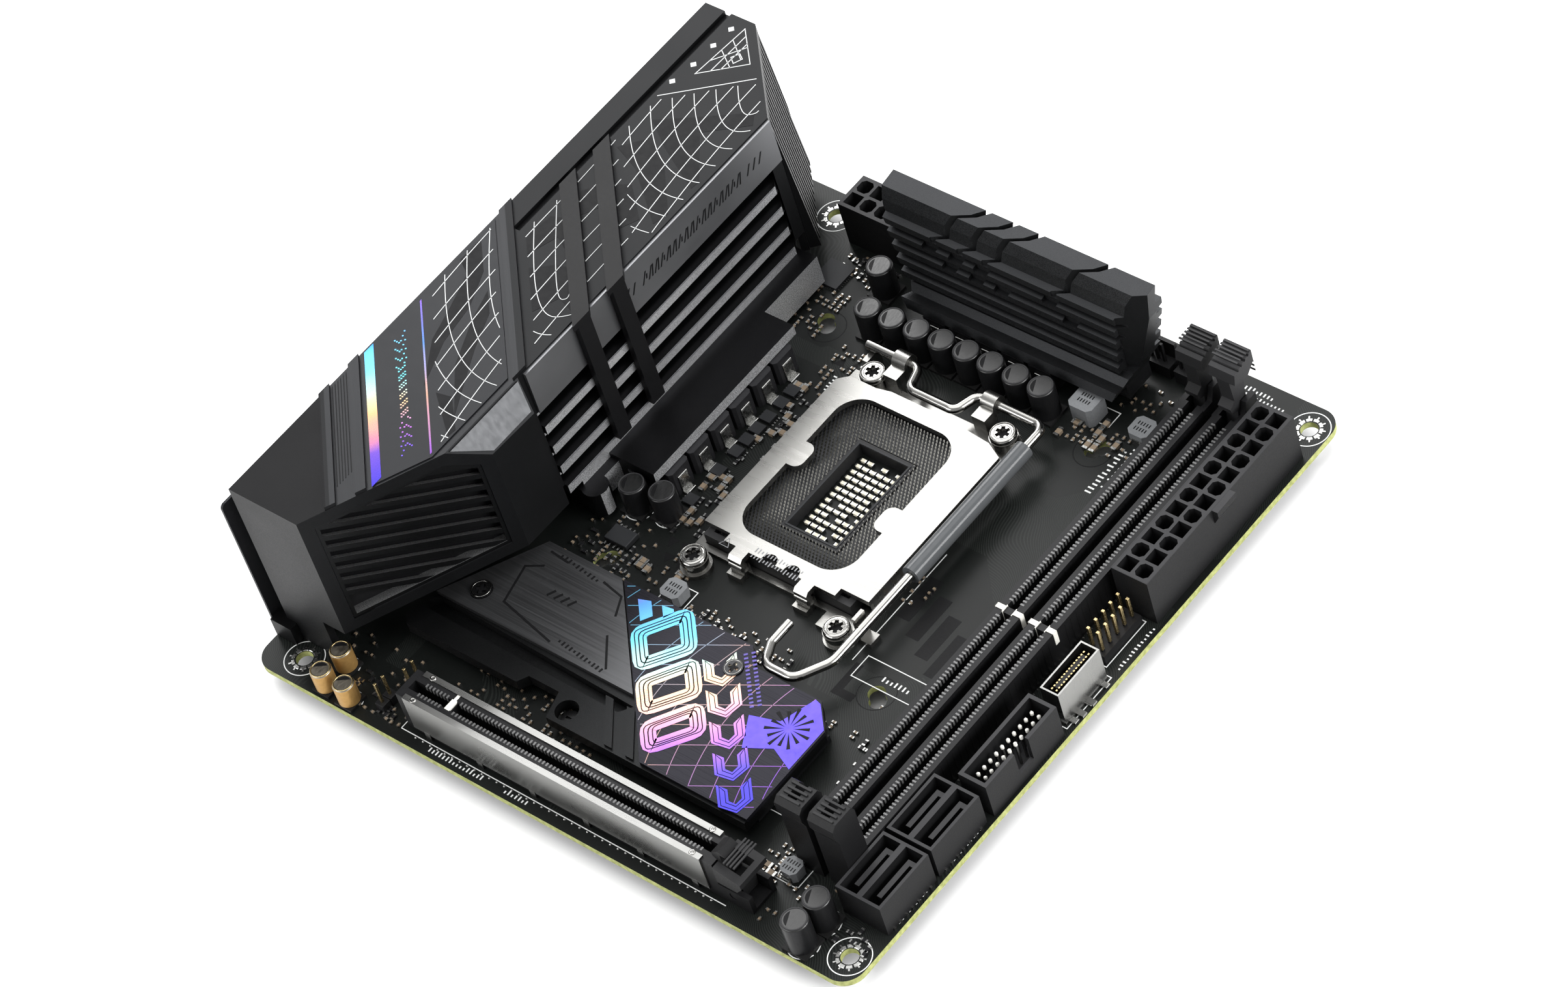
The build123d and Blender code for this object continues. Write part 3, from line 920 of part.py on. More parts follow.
sh = box(shield_x0, shield_x0 + shield_t, shield_y0, shield_y1, shield_z0, shield_z1)
sh = fillet(sh.edges().filter_by(Axis.X), 1.2)
w = 0.15
wins = [(au_y[0] - w, au_y[1] + w, T, T + 35.0 + w)]
wins += [(a - w, b + w, T, T + rows * usb_row_pitch + 1.0 + w) for (a, b), rows in zip(usb_y, usb_rows)]
wins += [(lan_y[0] - w, lan_y[1] + w, T, T + 13.8 + w), (68.4 - w, 77.6 + w, T + 15 - w, T + 18.5 + w),
         (dp_y[0] - w, dp_y[1] + w, T, T + 16.4 + w)]
sh = cut(sh, [box(shield_x0 - 1, shield_x0 + shield_t + 1, a, b, z0, z1) for a, b, z0, z1 in wins])
sh = cut(sh, [cyl_x(shield_x0 - 1, 1, yy, wifi_z, 3.1 + w) for yy in wifi_y]
         + [cyl_x(shield_x0 - 1, 1, bt_y, bt_z, button_r + 0.3)])
lip = 3.2
flange = box(shield_x0 + 0.1, cov_a[0] - 0.3, shield_y0 + 6, shield_y1 - 2, shield_z1 - shield_t, shield_z1)
save("rear_shield", sh.fuse(flange))

# ================================================================ underside
m2b_x0, m2b_y = 34.0, (86.0, 108.0)
bs = box(m2b_x0, m2b_x0 + 8.6, m2b_y[0], m2b_y[1], -4.2, -seat)
bs = cut(bs, [box(m2b_x0 - 1, m2b_x0 + 1.2, m2b_y[0] + 0.8, m2b_y[1] - 0.8, -3.2, -2.2)])
save("drive_sockets", [m2s, bs])

# coin cell standing behind the rear sockets
cell_t, cell_r = 3.2, 10.0
save("clock_battery", cyl_x(21.6, 21.6 + cell_t, 112.0, T + 0.4 + cell_r, cell_r))
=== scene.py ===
import bpy
import math
import numpy as np
from mathutils import Matrix, Vector


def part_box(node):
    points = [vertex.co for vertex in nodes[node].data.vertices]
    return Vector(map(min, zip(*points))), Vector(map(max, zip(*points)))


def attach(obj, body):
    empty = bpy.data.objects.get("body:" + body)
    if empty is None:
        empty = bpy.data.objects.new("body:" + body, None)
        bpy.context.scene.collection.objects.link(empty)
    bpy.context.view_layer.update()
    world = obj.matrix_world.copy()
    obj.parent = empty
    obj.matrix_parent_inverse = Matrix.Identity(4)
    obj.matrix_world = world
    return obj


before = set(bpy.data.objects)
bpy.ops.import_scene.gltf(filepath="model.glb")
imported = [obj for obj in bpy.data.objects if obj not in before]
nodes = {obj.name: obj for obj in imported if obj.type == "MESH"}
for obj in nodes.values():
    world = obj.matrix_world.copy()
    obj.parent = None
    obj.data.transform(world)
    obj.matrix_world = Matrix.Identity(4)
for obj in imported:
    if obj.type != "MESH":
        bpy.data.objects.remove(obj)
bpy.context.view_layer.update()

# ---------------------------------------------------------------- places
MM = 0.001
DATUM = np.array([10.16, 6.35, 0.0])      # board corner to the datum standoff hole, mm
TOP = 1.6                                 # top face of the laminate, mm
SOCKET = np.array([90.0, 99.1])           # middle of the processor socket
COVER_TOP = 50.5                          # top face of the rear cover


def span(name):
    """Lowest and highest corner of a CAD node, in millimetres from the board's own corner."""
    lo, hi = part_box(name)
    return np.array(lo) / MM + DATUM, np.array(hi) / MM + DATUM


# ---------------------------------------------------------------- camera
def place_camera():
    """Looks down across the corner of the board, from in front of the expansion slot."""
    cam = bpy.data.cameras.new("camera")
    cam.sensor_fit = "HORIZONTAL"
    cam.sensor_width = 36.0
    cam.lens = 128.43
    cam.clip_start, cam.clip_end = 0.05, 20.0
    ob = bpy.data.objects.new("camera", cam)
    right = Vector((0.75143, 0.62146, -0.22167))
    down = Vector((0.36885, -0.67422, -0.63983))
    ahead = Vector((-0.54709, 0.39902, -0.73585))
    turn = Matrix((right, -down, -ahead)).transposed().to_4x4()
    ob.matrix_world = Matrix.Translation((0.72347, -0.39257, 0.88782)) @ turn
    bpy.context.scene.collection.objects.link(ob)
    bpy.context.scene.camera = ob


place_camera()


# ---------------------------------------------------------------- stage
def area_light(name, place, aim, size, power, colour=(1, 1, 1)):
    """A soft rectangular lamp at a place, facing a point."""
    lamp = bpy.data.lights.new(name, "AREA")
    lamp.shape, lamp.size, lamp.size_y = "RECTANGLE", size[0], size[1]
    lamp.energy, lamp.color = power, colour
    ob = bpy.data.objects.new(name, lamp)
    ob.location = place
    ob.rotation_euler = (Vector(aim) - Vector(place)).to_track_quat("-Z", "Y").to_euler()
    bpy.context.scene.collection.objects.link(ob)
    return ob


def stage_floor():
    """One large pale sheet just below the lowest piece."""
    s, z = 6.0, -0.0048
    me = bpy.data.meshes.new("floor")
    me.from_pydata([(-s, -s, z), (s, -s, z), (s, s, z), (-s, s, z)], [], [(0, 1, 2, 3)])
    ob = bpy.data.objects.new("floor", me)
    bpy.context.scene.collection.objects.link(ob)
    m = bpy.data.materials.new("studio_floor")
    m.use_nodes = True
    b = m.node_tree.nodes["Principled BSDF"]
    b.inputs["Base Color"].default_value = (0.93, 0.93, 0.93, 1)
    b.inputs["Roughness"].default_value = 0.9
    b.inputs["Specular IOR Level"].default_value = 0.1
    me.materials.append(m)


stage_floor()
area_light("overhead", (0.05, 0.15, 1.1), (0.08, 0.08, 0), (1.1, 1.1), 9)
area_light("rear_key", (-0.75, 0.75, 0.75), (0.06, 0.08, 0.02), (0.8, 0.6), 12)
area_light("front_fill", (1.05, 0.35, 0.45), (0.08, 0.08, 0), (0.7, 0.4), 13)
area_light("left_strip", (-0.35, -0.85, 0.5), (0.06, 0.06, 0.02), (0.9, 0.3), 6)
world = bpy.data.worlds.new("studio")
bpy.context.scene.world = world
world.use_nodes = True
world.node_tree.nodes["Background"].inputs["Color"].default_value = (1, 1, 1, 1)
world.node_tree.nodes["Background"].inputs["Strength"].default_value = 0.62
bpy.context.scene.view_settings.view_transform = "Standard"


# ---------------------------------------------------------------- node helpers
class Net:
    """Short way to add and join nodes in one tree."""

    def __init__(self, tree):
        self.tree = tree

    def put(self, kind, values=None, **settings):
        n = self.tree.nodes.new(kind)
        for k, v in settings.items():
            setattr(n, k, v)
        for k, v in (values or {}).items():
            self.wire(v, n.inputs[k])
        return n

    def wire(self, value, socket):
        if isinstance(value, bpy.types.NodeSocket):
            self.tree.links.new(value, socket)
        else:
            socket.default_value = value

    def maths(self, op, a, b=0.0):
        return self.put("ShaderNodeMath", {0: a, 1: b}, operation=op).outputs[0]

    def add(self, a, b):
        return self.maths("ADD", a, b)

    def less(self, a, b):
        return self.maths("SUBTRACT", a, b)

    def times(self, a, b):
        return self.maths("MULTIPLY", a, b)

    def above(self, a, b):
        return self.maths("GREATER_THAN", a, b)

    def here(self):
        """The place on the piece itself, so a pattern moves with it."""
        return self.put("ShaderNodeTexCoord").outputs["Object"]

    def parts(self, vector):
        return self.put("ShaderNodeSeparateXYZ", {0: vector}).outputs

    def facing(self):
        """The x, y and z of the way a face points."""
        return self.parts(self.put("ShaderNodeNewGeometry").outputs["Normal"])

    def noise(self, at, scale, detail):
        return self.put("ShaderNodeTexNoise", {"Vector": at, "Scale": scale, "Detail": detail}).outputs["Fac"]

    def remap(self, value, lo, hi, low=0.0, high=1.0):
        return self.put("ShaderNodeMapRange", {0: value, 1: lo, 2: hi, 3: low, 4: high}).outputs[0]

    def ramp(self, fac, stops):
        n = self.put("ShaderNodeValToRGB", {"Fac": fac})
        e = n.color_ramp.elements
        while len(e) < len(stops):
            e.new(0.5)
        for k, (place, *colour) in zip(e, stops):
            k.position, k.color = place, (*colour, 1)
        return n.outputs["Color"]

    def blend(self, fac, a, b):
        n = self.put("ShaderNodeMix", data_type="RGBA")
        self.wire(fac, n.inputs[0])
        self.wire(a if not isinstance(a, tuple) else (*a, 1)[:4], n.inputs[6])
        self.wire(b if not isinstance(b, tuple) else (*b, 1)[:4], n.inputs[7])
        return n.outputs[2]

    def band(self, value, lo, hi, soft=0.0001):
        """1 between two values, 0 outside, with soft edges."""
        up = self.remap(value, lo - soft, lo + soft)
        return self.times(up, self.remap(value, hi - soft, hi + soft, 1.0, 0.0))


def group(name, inputs, outputs):
    """An empty shader group with named sockets; returns the tree, its net and its two end nodes."""
    g = bpy.data.node_groups.new(name, "ShaderNodeTree")
    for n, kind, default in inputs:
        s = g.interface.new_socket(n, in_out="INPUT", socket_type=kind)
        if default is not None:
            s.default_value = default
    for n, kind in outputs:
        g.interface.new_socket(n, in_out="OUTPUT", socket_type=kind)
    net = Net(g)
    return g, net, g.nodes.new("NodeGroupInput").outputs, g.nodes.new("NodeGroupOutput").inputs


C, F = "NodeSocketColor", "NodeSocketFloat"


def make_grain():
    """Fine moulding or powder grain: two noises set the tint, roughness and height; faces that point up are painted
    lighter, a painted highlight standing in for the light they catch from above.
    """
    g, n, i, o = group("surface_grain", [("Base", C, (0.1, 0.1, 0.1, 1)), ("Spread", F, 0.2), ("Scale", F, 3000.0),
                                         ("Rough Low", F, 0.4), ("Rough High", F, 0.6), ("Lift", F, 0.0)],
                       [("Color", C), ("Roughness", F), ("Height", F)])
    at = n.here()
    fine = n.noise(at, i["Scale"], 3.0)
    wide = n.noise(at, 60.0, 4.0)
    tone = n.add(n.times(fine, 0.6), n.times(wide, 0.4))
    shift = n.times(n.less(tone, 0.5), i["Spread"])
    up = n.facing()[2]
    # painted highlight: faces pointing up are made lighter by this amount
    top_highlight = n.times(n.above(up, 0.9), i["Lift"])
    gain = n.add(n.add(1.0, n.times(shift, 2.0)), top_highlight)
    hsv = n.put("ShaderNodeHueSaturation", {"Color": i["Base"], "Value": gain})
    n.wire(hsv.outputs[0], o["Color"])
    n.wire(n.remap(tone, 0.3, 0.7, i["Rough Low"], i["Rough High"]), o["Roughness"])
    n.wire(fine, o["Height"])
    return g


def make_brush():
    """Brushed metal: noise drawn out along one direction gives streaks of tint, roughness and height."""
    g, n, i, o = group("brushed_lines", [("Base", C, (0.6, 0.6, 0.6, 1)), ("Spread", F, 0.3), ("Along X", F, 60.0),
                                         ("Along Y", F, 4000.0), ("Turn", F, 0.0), ("Rough Low", F, 0.25),
                                         ("Rough High", F, 0.45)], [("Color", C), ("Roughness", F), ("Height", F)])
    at = n.here()
    spin = n.put("ShaderNodeVectorRotate", {"Vector": at, "Angle": i["Turn"]}, rotation_type="Z_AXIS").outputs[0]
    size = n.put("ShaderNodeCombineXYZ", {0: i["Along X"], 1: i["Along Y"], 2: 60.0}).outputs[0]
    drawn = n.put("ShaderNodeVectorMath", {0: spin, 1: size}, operation="MULTIPLY").outputs[0]
    line = n.noise(drawn, 1.0, 4.0)
    gain = n.add(1.0, n.times(n.less(line, 0.5), i["Spread"]))
    n.wire(n.put("ShaderNodeHueSaturation", {"Color": i["Base"], "Value": gain}).outputs[0], o["Color"])
    n.wire(n.remap(line, 0.3, 0.7, i["Rough Low"], i["Rough High"]), o["Roughness"])
    n.wire(line, o["Height"])
    return g


def make_facing():
    """Masks by the way a face points: up, forward (+X) and sideways."""
    g, n, i, o = group("face_direction", [("Limit", F, 0.9)], [("Up", F), ("Front", F), ("Side", F)])
    v = n.facing()
    for k, name in ((2, "Up"), (0, "Front")):
        n.wire(n.above(v[k], i["Limit"]), o[name])
    n.wire(n.maths("LESS_THAN", n.maths("ABSOLUTE", v[2]), 0.5), o["Side"])
    return g


def make_wear():
    """Thin pale wear: where a broad noise is high, the colour moves to the worn one."""
    g, n, i, o = group("light_wear", [("Color", C, (0.1, 0.1, 0.1, 1)), ("Worn", C, (0.4, 0.4, 0.4, 1)),
                                      ("Amount", F, 0.1)], [("Color", C), ("Mask", F)])
    at = n.here()
    a = n.noise(at, 350.0, 6.0)
    m = n.remap(a, 0.58, 0.75)
    k = n.times(m, i["Amount"])
    n.wire(n.blend(k, i["Color"], i["Worn"]), o["Color"])
    n.wire(k, o["Mask"])
    return g


GRAIN, BRUSH, FACING, WEAR = make_grain(), make_brush(), make_facing(), make_wear()


def blank(name, metal=0.0, rough=0.5):
    """A new material; returns it, its net and its Principled node."""
    m = bpy.data.materials.new(name)
    m.use_nodes = True
    net = Net(m.node_tree)
    b = m.node_tree.nodes["Principled BSDF"]
    b.inputs["Metallic"].default_value = metal
    b.inputs["Roughness"].default_value = rough
    b.inputs["Specular IOR Level"].default_value = 0.5 if metal > 0.8 else 0.14
    return m, net, b


def use(net, tree, values):
    n = net.tree.nodes.new("ShaderNodeGroup")
    n.node_tree = tree
    for k, v in values.items():
        net.wire((*v, 1) if isinstance(v, tuple) and len(v) == 3 else v, n.inputs[k])
    return n.outputs


def grain(net, base, spread, scale, rough, top_highlight=0.0):
    return use(net, GRAIN, {"Base": base, "Spread": spread, "Scale": scale, "Rough Low": rough[0],
                            "Rough High": rough[1], "Lift": top_highlight})


def brush(net, base, spread, along, rough, turn=0.0):
    return use(net, BRUSH, {"Base": base, "Spread": spread, "Along X": along[0], "Along Y": along[1], "Turn": turn,
                            "Rough Low": rough[0], "Rough High": rough[1]})


def paint(net, b, colour, rough):
    net.wire(colour, b.inputs["Base Color"])
    net.wire(rough, b.inputs["Roughness"])


def bump(net, b, height, strength, distance=0.00005):
    n = net.put("ShaderNodeBump", {"Height": height, "Strength": strength, "Distance": distance})
    net.wire(n.outputs[0], b.inputs["Normal"])


def grained(name, colour, spread=0.4, scale=3000.0, rough=(0.4, 0.6), metal=0.0, bumpy=0.15, top_highlight=0.0, coat=0.0,
            worn=0.0):
    """Moulded, cast or powder-coated finish, with an optional painted highlight that lightens faces pointing up."""
    m, n, b = blank(name, metal)
    g = grain(n, colour, spread, scale, rough, top_highlight)
    col = g["Color"]
    if worn:
        pale = tuple(min(1.0, c * 2.5 + 0.03) for c in colour)
        col = use(n, WEAR, {"Color": col, "Worn": pale, "Amount": worn})["Color"]
    paint(n, b, col, g["Roughness"])
    if coat:
        b.inputs["Coat Weight"].default_value = coat
        b.inputs["Coat Roughness"].default_value = 0.15
    bump(n, b, g["Height"], bumpy)
    return m


def brushed(name, colour, along=(60.0, 4000.0), turn=0.0, spread=0.35, rough=(0.22, 0.4), bumpy=0.08, metal=1.0):
    """Brushed or rolled metal."""
    m, n, b = blank(name, metal)
    g = brush(n, colour, spread, along, rough, turn)
    paint(n, b, g["Color"], g["Roughness"])
    bump(n, b, g["Height"], bumpy)
    return m


# ---------------------------------------------------------------- materials
# Several finishes below paint a highlight on their up-facing faces, standing in for light from above.
black_plastic = grained("black_plastic", (0.012, 0.012, 0.0125), rough=(0.38, 0.58), top_highlight=0.9, bumpy=0.2)
slot_plastic = grained("slot_plastic", (0.007, 0.007, 0.0075), rough=(0.35, 0.5), top_highlight=0.6)
power_plastic = grained("power_plastic", (0.0085, 0.0085, 0.009), rough=(0.4, 0.6), top_highlight=2.6)
grey_plastic_and_edge_highlight = grained("grey_plastic_and_edge_highlight", (0.022, 0.022, 0.023), rough=(0.4, 0.6), top_highlight=0.5)
chip_black = grained("chip_black", (0.012, 0.0125, 0.0135), scale=5000, rough=(0.35, 0.5), top_highlight=0.8)
plate_steel = brushed("plate_steel", (0.27, 0.267, 0.255), along=(60, 700), spread=0.14, rough=(0.24, 0.32), bumpy=0.0)
wire_steel = brushed("wire_steel", (0.34, 0.335, 0.32), along=(300, 300), spread=0.15, rough=(0.12, 0.2), bumpy=0.0)
tin = brushed("tin", (0.27, 0.27, 0.262), along=(60, 500), spread=0.15, rough=(0.24, 0.32), bumpy=0.0)
solder = grained("solder", (0.36, 0.36, 0.35), spread=0.3, scale=1500, rough=(0.15, 0.35), metal=1.0, bumpy=0.5)
gold = grained("gold_plating", (0.50, 0.39, 0.20), spread=0.2, scale=1500, rough=(0.18, 0.32), metal=1.0)
contact_gold = grained("contact_gold", (0.26, 0.255, 0.235), spread=0.5, scale=2500, rough=(0.22, 0.4), metal=1.0)
silk_white = grained("silkscreen_white", (0.72, 0.73, 0.72), spread=0.15, rough=(0.5, 0.7))
ceramic_tan = grained("ceramic_tan", (0.20, 0.155, 0.11), spread=0.5, scale=900, rough=(0.4, 0.6))
ceramic_pale = grained("ceramic_pale", (0.70, 0.66, 0.54), spread=0.2, scale=900, rough=(0.4, 0.6))
resistor_black = grained("resistor_black", (0.010, 0.010, 0.011), scale=900, rough=(0.3, 0.5))
choke_powder = grained("choke_powder", (0.010, 0.010, 0.011), scale=2400, rough=(0.4, 0.62), top_highlight=0.6, bumpy=0.5)
inductor_powder = grained("inductor_powder", (0.13, 0.135, 0.14), scale=2400, rough=(0.5, 0.7), top_highlight=0.3, bumpy=0.5)
pad_soft = grained("thermal_pad_soft", (0.28, 0.38, 0.52), scale=1800, rough=(0.7, 0.9), bumpy=0.4)
screw_black = grained("screw_black", (0.035, 0.035, 0.036), rough=(0.25, 0.35), metal=0.9, bumpy=0.05)
key_white = grained("key_white", (0.72, 0.71, 0.66), rough=(0.4, 0.5), bumpy=0.05)
contact_grey = grained("contact_grey", (0.13, 0.13, 0.13), spread=0.5, scale=900, rough=(0.3, 0.5), metal=0.4)
shield_print = grained("shield_print", (0.022, 0.0225, 0.025), scale=2600, rough=(0.4, 0.55), metal=0.4, worn=0.15)
bar_gloss = grained("bar_gloss", (0.0045, 0.0045, 0.005), scale=1500, rough=(0.42, 0.5), bumpy=0.03)
button_pale = grained("button_pale", (0.6, 0.6, 0.6), rough=(0.4, 0.5))
port_blue = grained("port_blue", (0.03, 0.12, 0.45), rough=(0.35, 0.5))
port_red = grained("port_red", (0.45, 0.03, 0.03), rough=(0.35, 0.5))
port_teal = grained("port_teal", (0.02, 0.33, 0.36), rough=(0.35, 0.5))
jack_green = grained("jack_green", (0.10, 0.42, 0.08), rough=(0.35, 0.5))
jack_pink = grained("jack_pink", (0.62, 0.16, 0.25), rough=(0.35, 0.5))
jack_blue = grained("jack_blue", (0.12, 0.32, 0.60), rough=(0.35, 0.5))


def board_material():
    """Black mask over copper: fine routed tracks as faint ridges, a ground-plane hatch, and a green-yellow cut edge."""
    m, n, b = blank("solder_mask")
    at = n.here()
    xyz = n.parts(at)
    bend = n.noise(at, 42.0, 1.0)
    diag = n.add(n.add(xyz[0], xyz[1]), n.times(bend, 0.03))
    lines = n.maths("SINE", n.times(diag, 9000.0))
    zone = n.put("ShaderNodeTexVoronoi", {"Vector": at, "Scale": 38.0}, distance="MANHATTAN").outputs["Color"]
    part = n.above(n.put("ShaderNodeSeparateColor", {0: zone}).outputs[0], 0.62)
    tracks = n.times(n.above(lines, 0.2), part)
    g = grain(n, (0.0065, 0.0075, 0.007), 0.4, 2500.0, (0.3, 0.42))
    face = n.blend(n.times(tracks, 0.55), g["Color"], (0.021, 0.024, 0.022))
    side = use(n, FACING, {"Limit": 0.9})["Side"]
    weave = n.noise(at, 900.0, 2.0)
    edge = n.ramp(weave, [(0.3, 0.22, 0.24, 0.08), (0.7, 0.38, 0.40, 0.16)])
    paint(n, b, n.blend(side, face, edge), n.add(g["Roughness"], n.times(side, 0.25)))
    bump(n, b, n.add(n.times(g["Height"], 0.2), tracks), 0.25, 0.00003)
    return m


def can_material(name, sleeve, top, foot=0.9):
    """Capacitor can: sleeve colour on the wall, brushed bare top, black foot below a height."""
    m, n, b = blank(name)
    at = n.here()
    z = n.parts(at)[2]
    side = grain(n, sleeve, 0.3, 1500.0, (0.25, 0.4))
    cap = brush(n, top, 0.4, (3000.0, 900.0), (0.3, 0.45))
    nrm = n.facing()[2]
    up = n.above(nrm, 0.35)
    low = n.maths("LESS_THAN", z, (TOP + foot) * MM)
    up = n.times(up, n.less(1.0, low))
    col = n.blend(up, side["Color"], cap["Color"])
    n.wire(n.blend(low, col, (0.012, 0.012, 0.012)), b.inputs["Base Color"])
    n.wire(n.times(n.maths("MAXIMUM", up, 0.5), n.less(1.0, low)), b.inputs["Metallic"])
    n.wire(cap["Roughness"], b.inputs["Roughness"])
    bump(n, b, side["Height"], 0.06)
    return m


def fin_material(name, body, bright, front_axis=0, limit=0.9):
    """Anodised fins: dark satin body; the faces that point to the front get a pale, noise-flecked painted highlight
    standing in for the light they catch.
    """
    m, n, b = blank(name, 0.85)
    at = n.here()
    v = n.facing()[front_axis]
    if front_axis == 1:
        v = n.times(v, -1.0)
    # painted highlight: faces pointing along the chosen axis take the bright colour
    front = n.above(v, limit)
    speck = n.noise(at, 5200.0, 2.0)
    painted_highlight = n.ramp(speck, [(0.35, *(c * 0.35 for c in bright)), (0.62, *bright)])
    g = grain(n, body, 0.5, 4000.0, (0.34, 0.5))
    paint(n, b, n.blend(front, g["Color"], painted_highlight), g["Roughness"])
    bump(n, b, speck, 0.35, 0.00004)
    return m


solder_mask = board_material()
cap_black = can_material("capacitor_black", (0.014, 0.014, 0.015), (0.055, 0.055, 0.055))
cap_gold = can_material("capacitor_gold", (0.42, 0.25, 0.085), (0.30, 0.27, 0.22))
# Fin finishes: a painted highlight lightens the faces that point along +X or -Y.
rear_fins = fin_material("rear_fins", (0.008, 0.008, 0.009), (0.85, 0.86, 0.88))
side_fins = fin_material("side_fins", (0.030, 0.031, 0.033), (0.055, 0.057, 0.06), 1, 0.9)
drive_sink = fin_material("drive_sink", (0.012, 0.0125, 0.013), (0.03, 0.03, 0.032), 1, 0.9)


def cover_material():
    """Cover shell: near the expansion-slot end it is brushed and pale, towards the other end darker satin; the rear
    rail and walls have fine grain, and the slanting end is matt."""
    m, n, b = blank("cover_shell", 0.55)
    at = n.here()
    xyz = n.parts(at)
    up = use(n, FACING, {"Limit": 0.95})["Up"]
    diag = n.add(xyz[0], xyz[1])
    d0 = (3.5 - DATUM[0] - DATUM[1]) * MM
    line = brush(n, (0.019, 0.0195, 0.021), 0.6, (40.0, 3500.0), (0.3, 0.44), math.radians(45))
    g = grain(n, (0.0095, 0.0098, 0.0105), 0.6, 4200.0, (0.38, 0.52))
    zone = n.band(diag, d0 + 41.2 * MM, d0 + 101 * MM)
    first = n.maths("LESS_THAN", diag, d0 + 40.0 * MM)
    top = n.blend(zone, g["Color"], line["Color"])
    top = n.blend(first, top, (0.005, 0.005, 0.0055))
    paint(n, b, n.blend(up, g["Color"], top), n.blend(n.times(up, zone), g["Roughness"], line["Roughness"]))
    bump(n, b, g["Height"], 0.2, 0.00004)
    return m


def print_material(name, stops, angle, length, origin, rough=0.28, metal=0.35):
    """Foil print: colours run along one direction over a length, with a fine shimmer."""
    m, n, b = blank(name, metal, rough)
    at = n.here()
    xyz = n.parts(at)
    u = n.add(n.times(xyz[0], math.cos(angle)),
                n.times(xyz[1], math.sin(angle)))
    t = n.maths("DIVIDE", n.less(u, origin), length)
    shim = n.noise(at, 90.0, 2.0)
    t = n.add(t, n.times(n.less(shim, 0.5), 0.25))
    g = grain(n, n.ramp(t, stops), 0.12, 3000.0, (rough - 0.05, rough + 0.08))
    paint(n, b, g["Color"], g["Roughness"])
    return m


cover_shell = cover_material()
FOIL = [(0.0, 0.03, 0.20, 0.55), (0.2, 0.12, 0.42, 0.60), (0.38, 0.34, 0.36, 0.24), (0.52, 0.58, 0.28, 0.13),
        (0.66, 0.38, 0.13, 0.18), (0.8, 0.09, 0.04, 0.30), (1.0, 0.03, 0.02, 0.32)]
stripe_foil = print_material("stripe_foil", FOIL, math.radians(-45), 0.0388, -0.0386)
line_foil = print_material("line_foil", [(0.0, 0.12, 0.05, 0.28), (0.3, 0.05, 0.14, 0.40), (0.6, 0.36, 0.20, 0.14),
                                         (1.0, 0.16, 0.05, 0.30)], math.radians(-45), 0.0446, -0.0491)
line_violet = grained("line_violet", (0.10, 0.08, 0.28), spread=0.3, rough=(0.3, 0.45), metal=0.3)
print_base = brushed("print_base", (0.016, 0.0155, 0.02), along=(40, 3500), spread=0.4, rough=(0.24, 0.34), metal=0.6)
plate_brushed = brushed("plate_brushed", (0.078, 0.079, 0.082), along=(30, 3000), spread=0.8, rough=(0.28, 0.42),
                        metal=0.8, bumpy=0.15)
# Dark ink for print; also used as painted shade in screw recesses, shield vent holes and behind the louvre.
dark_ink_and_shade = grained("dark_ink_and_shade", (0.004, 0.004, 0.0045), rough=(0.5, 0.65))
label_gloss = grained("label_gloss", (0.0135, 0.014, 0.0155), spread=0.3, scale=600, rough=(0.3, 0.42), metal=0.5)
camo_dark = grained("camo_dark", (0.0022, 0.0022, 0.003), scale=700, rough=(0.5, 0.6), bumpy=0.03)
grid_white = grained("grid_white", (0.55, 0.56, 0.56), rough=(0.4, 0.5))
accent_grey_and_glint = brushed("accent_grey_and_glint", (0.17, 0.173, 0.18), along=(3500, 40), spread=0.3, rough=(0.32, 0.45), metal=0.8)
badge_grey = brushed("badge_grey", (0.045, 0.046, 0.048), along=(900, 900), spread=0.2, rough=(0.3, 0.42), metal=0.8)
# the slats' upward faces carry a painted highlight
slat_grey = fin_material("slat_grey", (0.012, 0.0125, 0.013), (0.42, 0.425, 0.43), 2, 0.6)


def sleeve_material():
    """Smoky clear tube over the lever."""
    m, n, b = blank("smoky_sleeve", 0.0, 0.12)
    g = grain(n, (0.10, 0.105, 0.11), 0.2, 900.0, (0.08, 0.16))
    paint(n, b, g["Color"], g["Roughness"])
    b.inputs["Transmission Weight"].default_value = 0.25
    b.inputs["IOR"].default_value = 1.45
    return m


smoky_sleeve = sleeve_material()

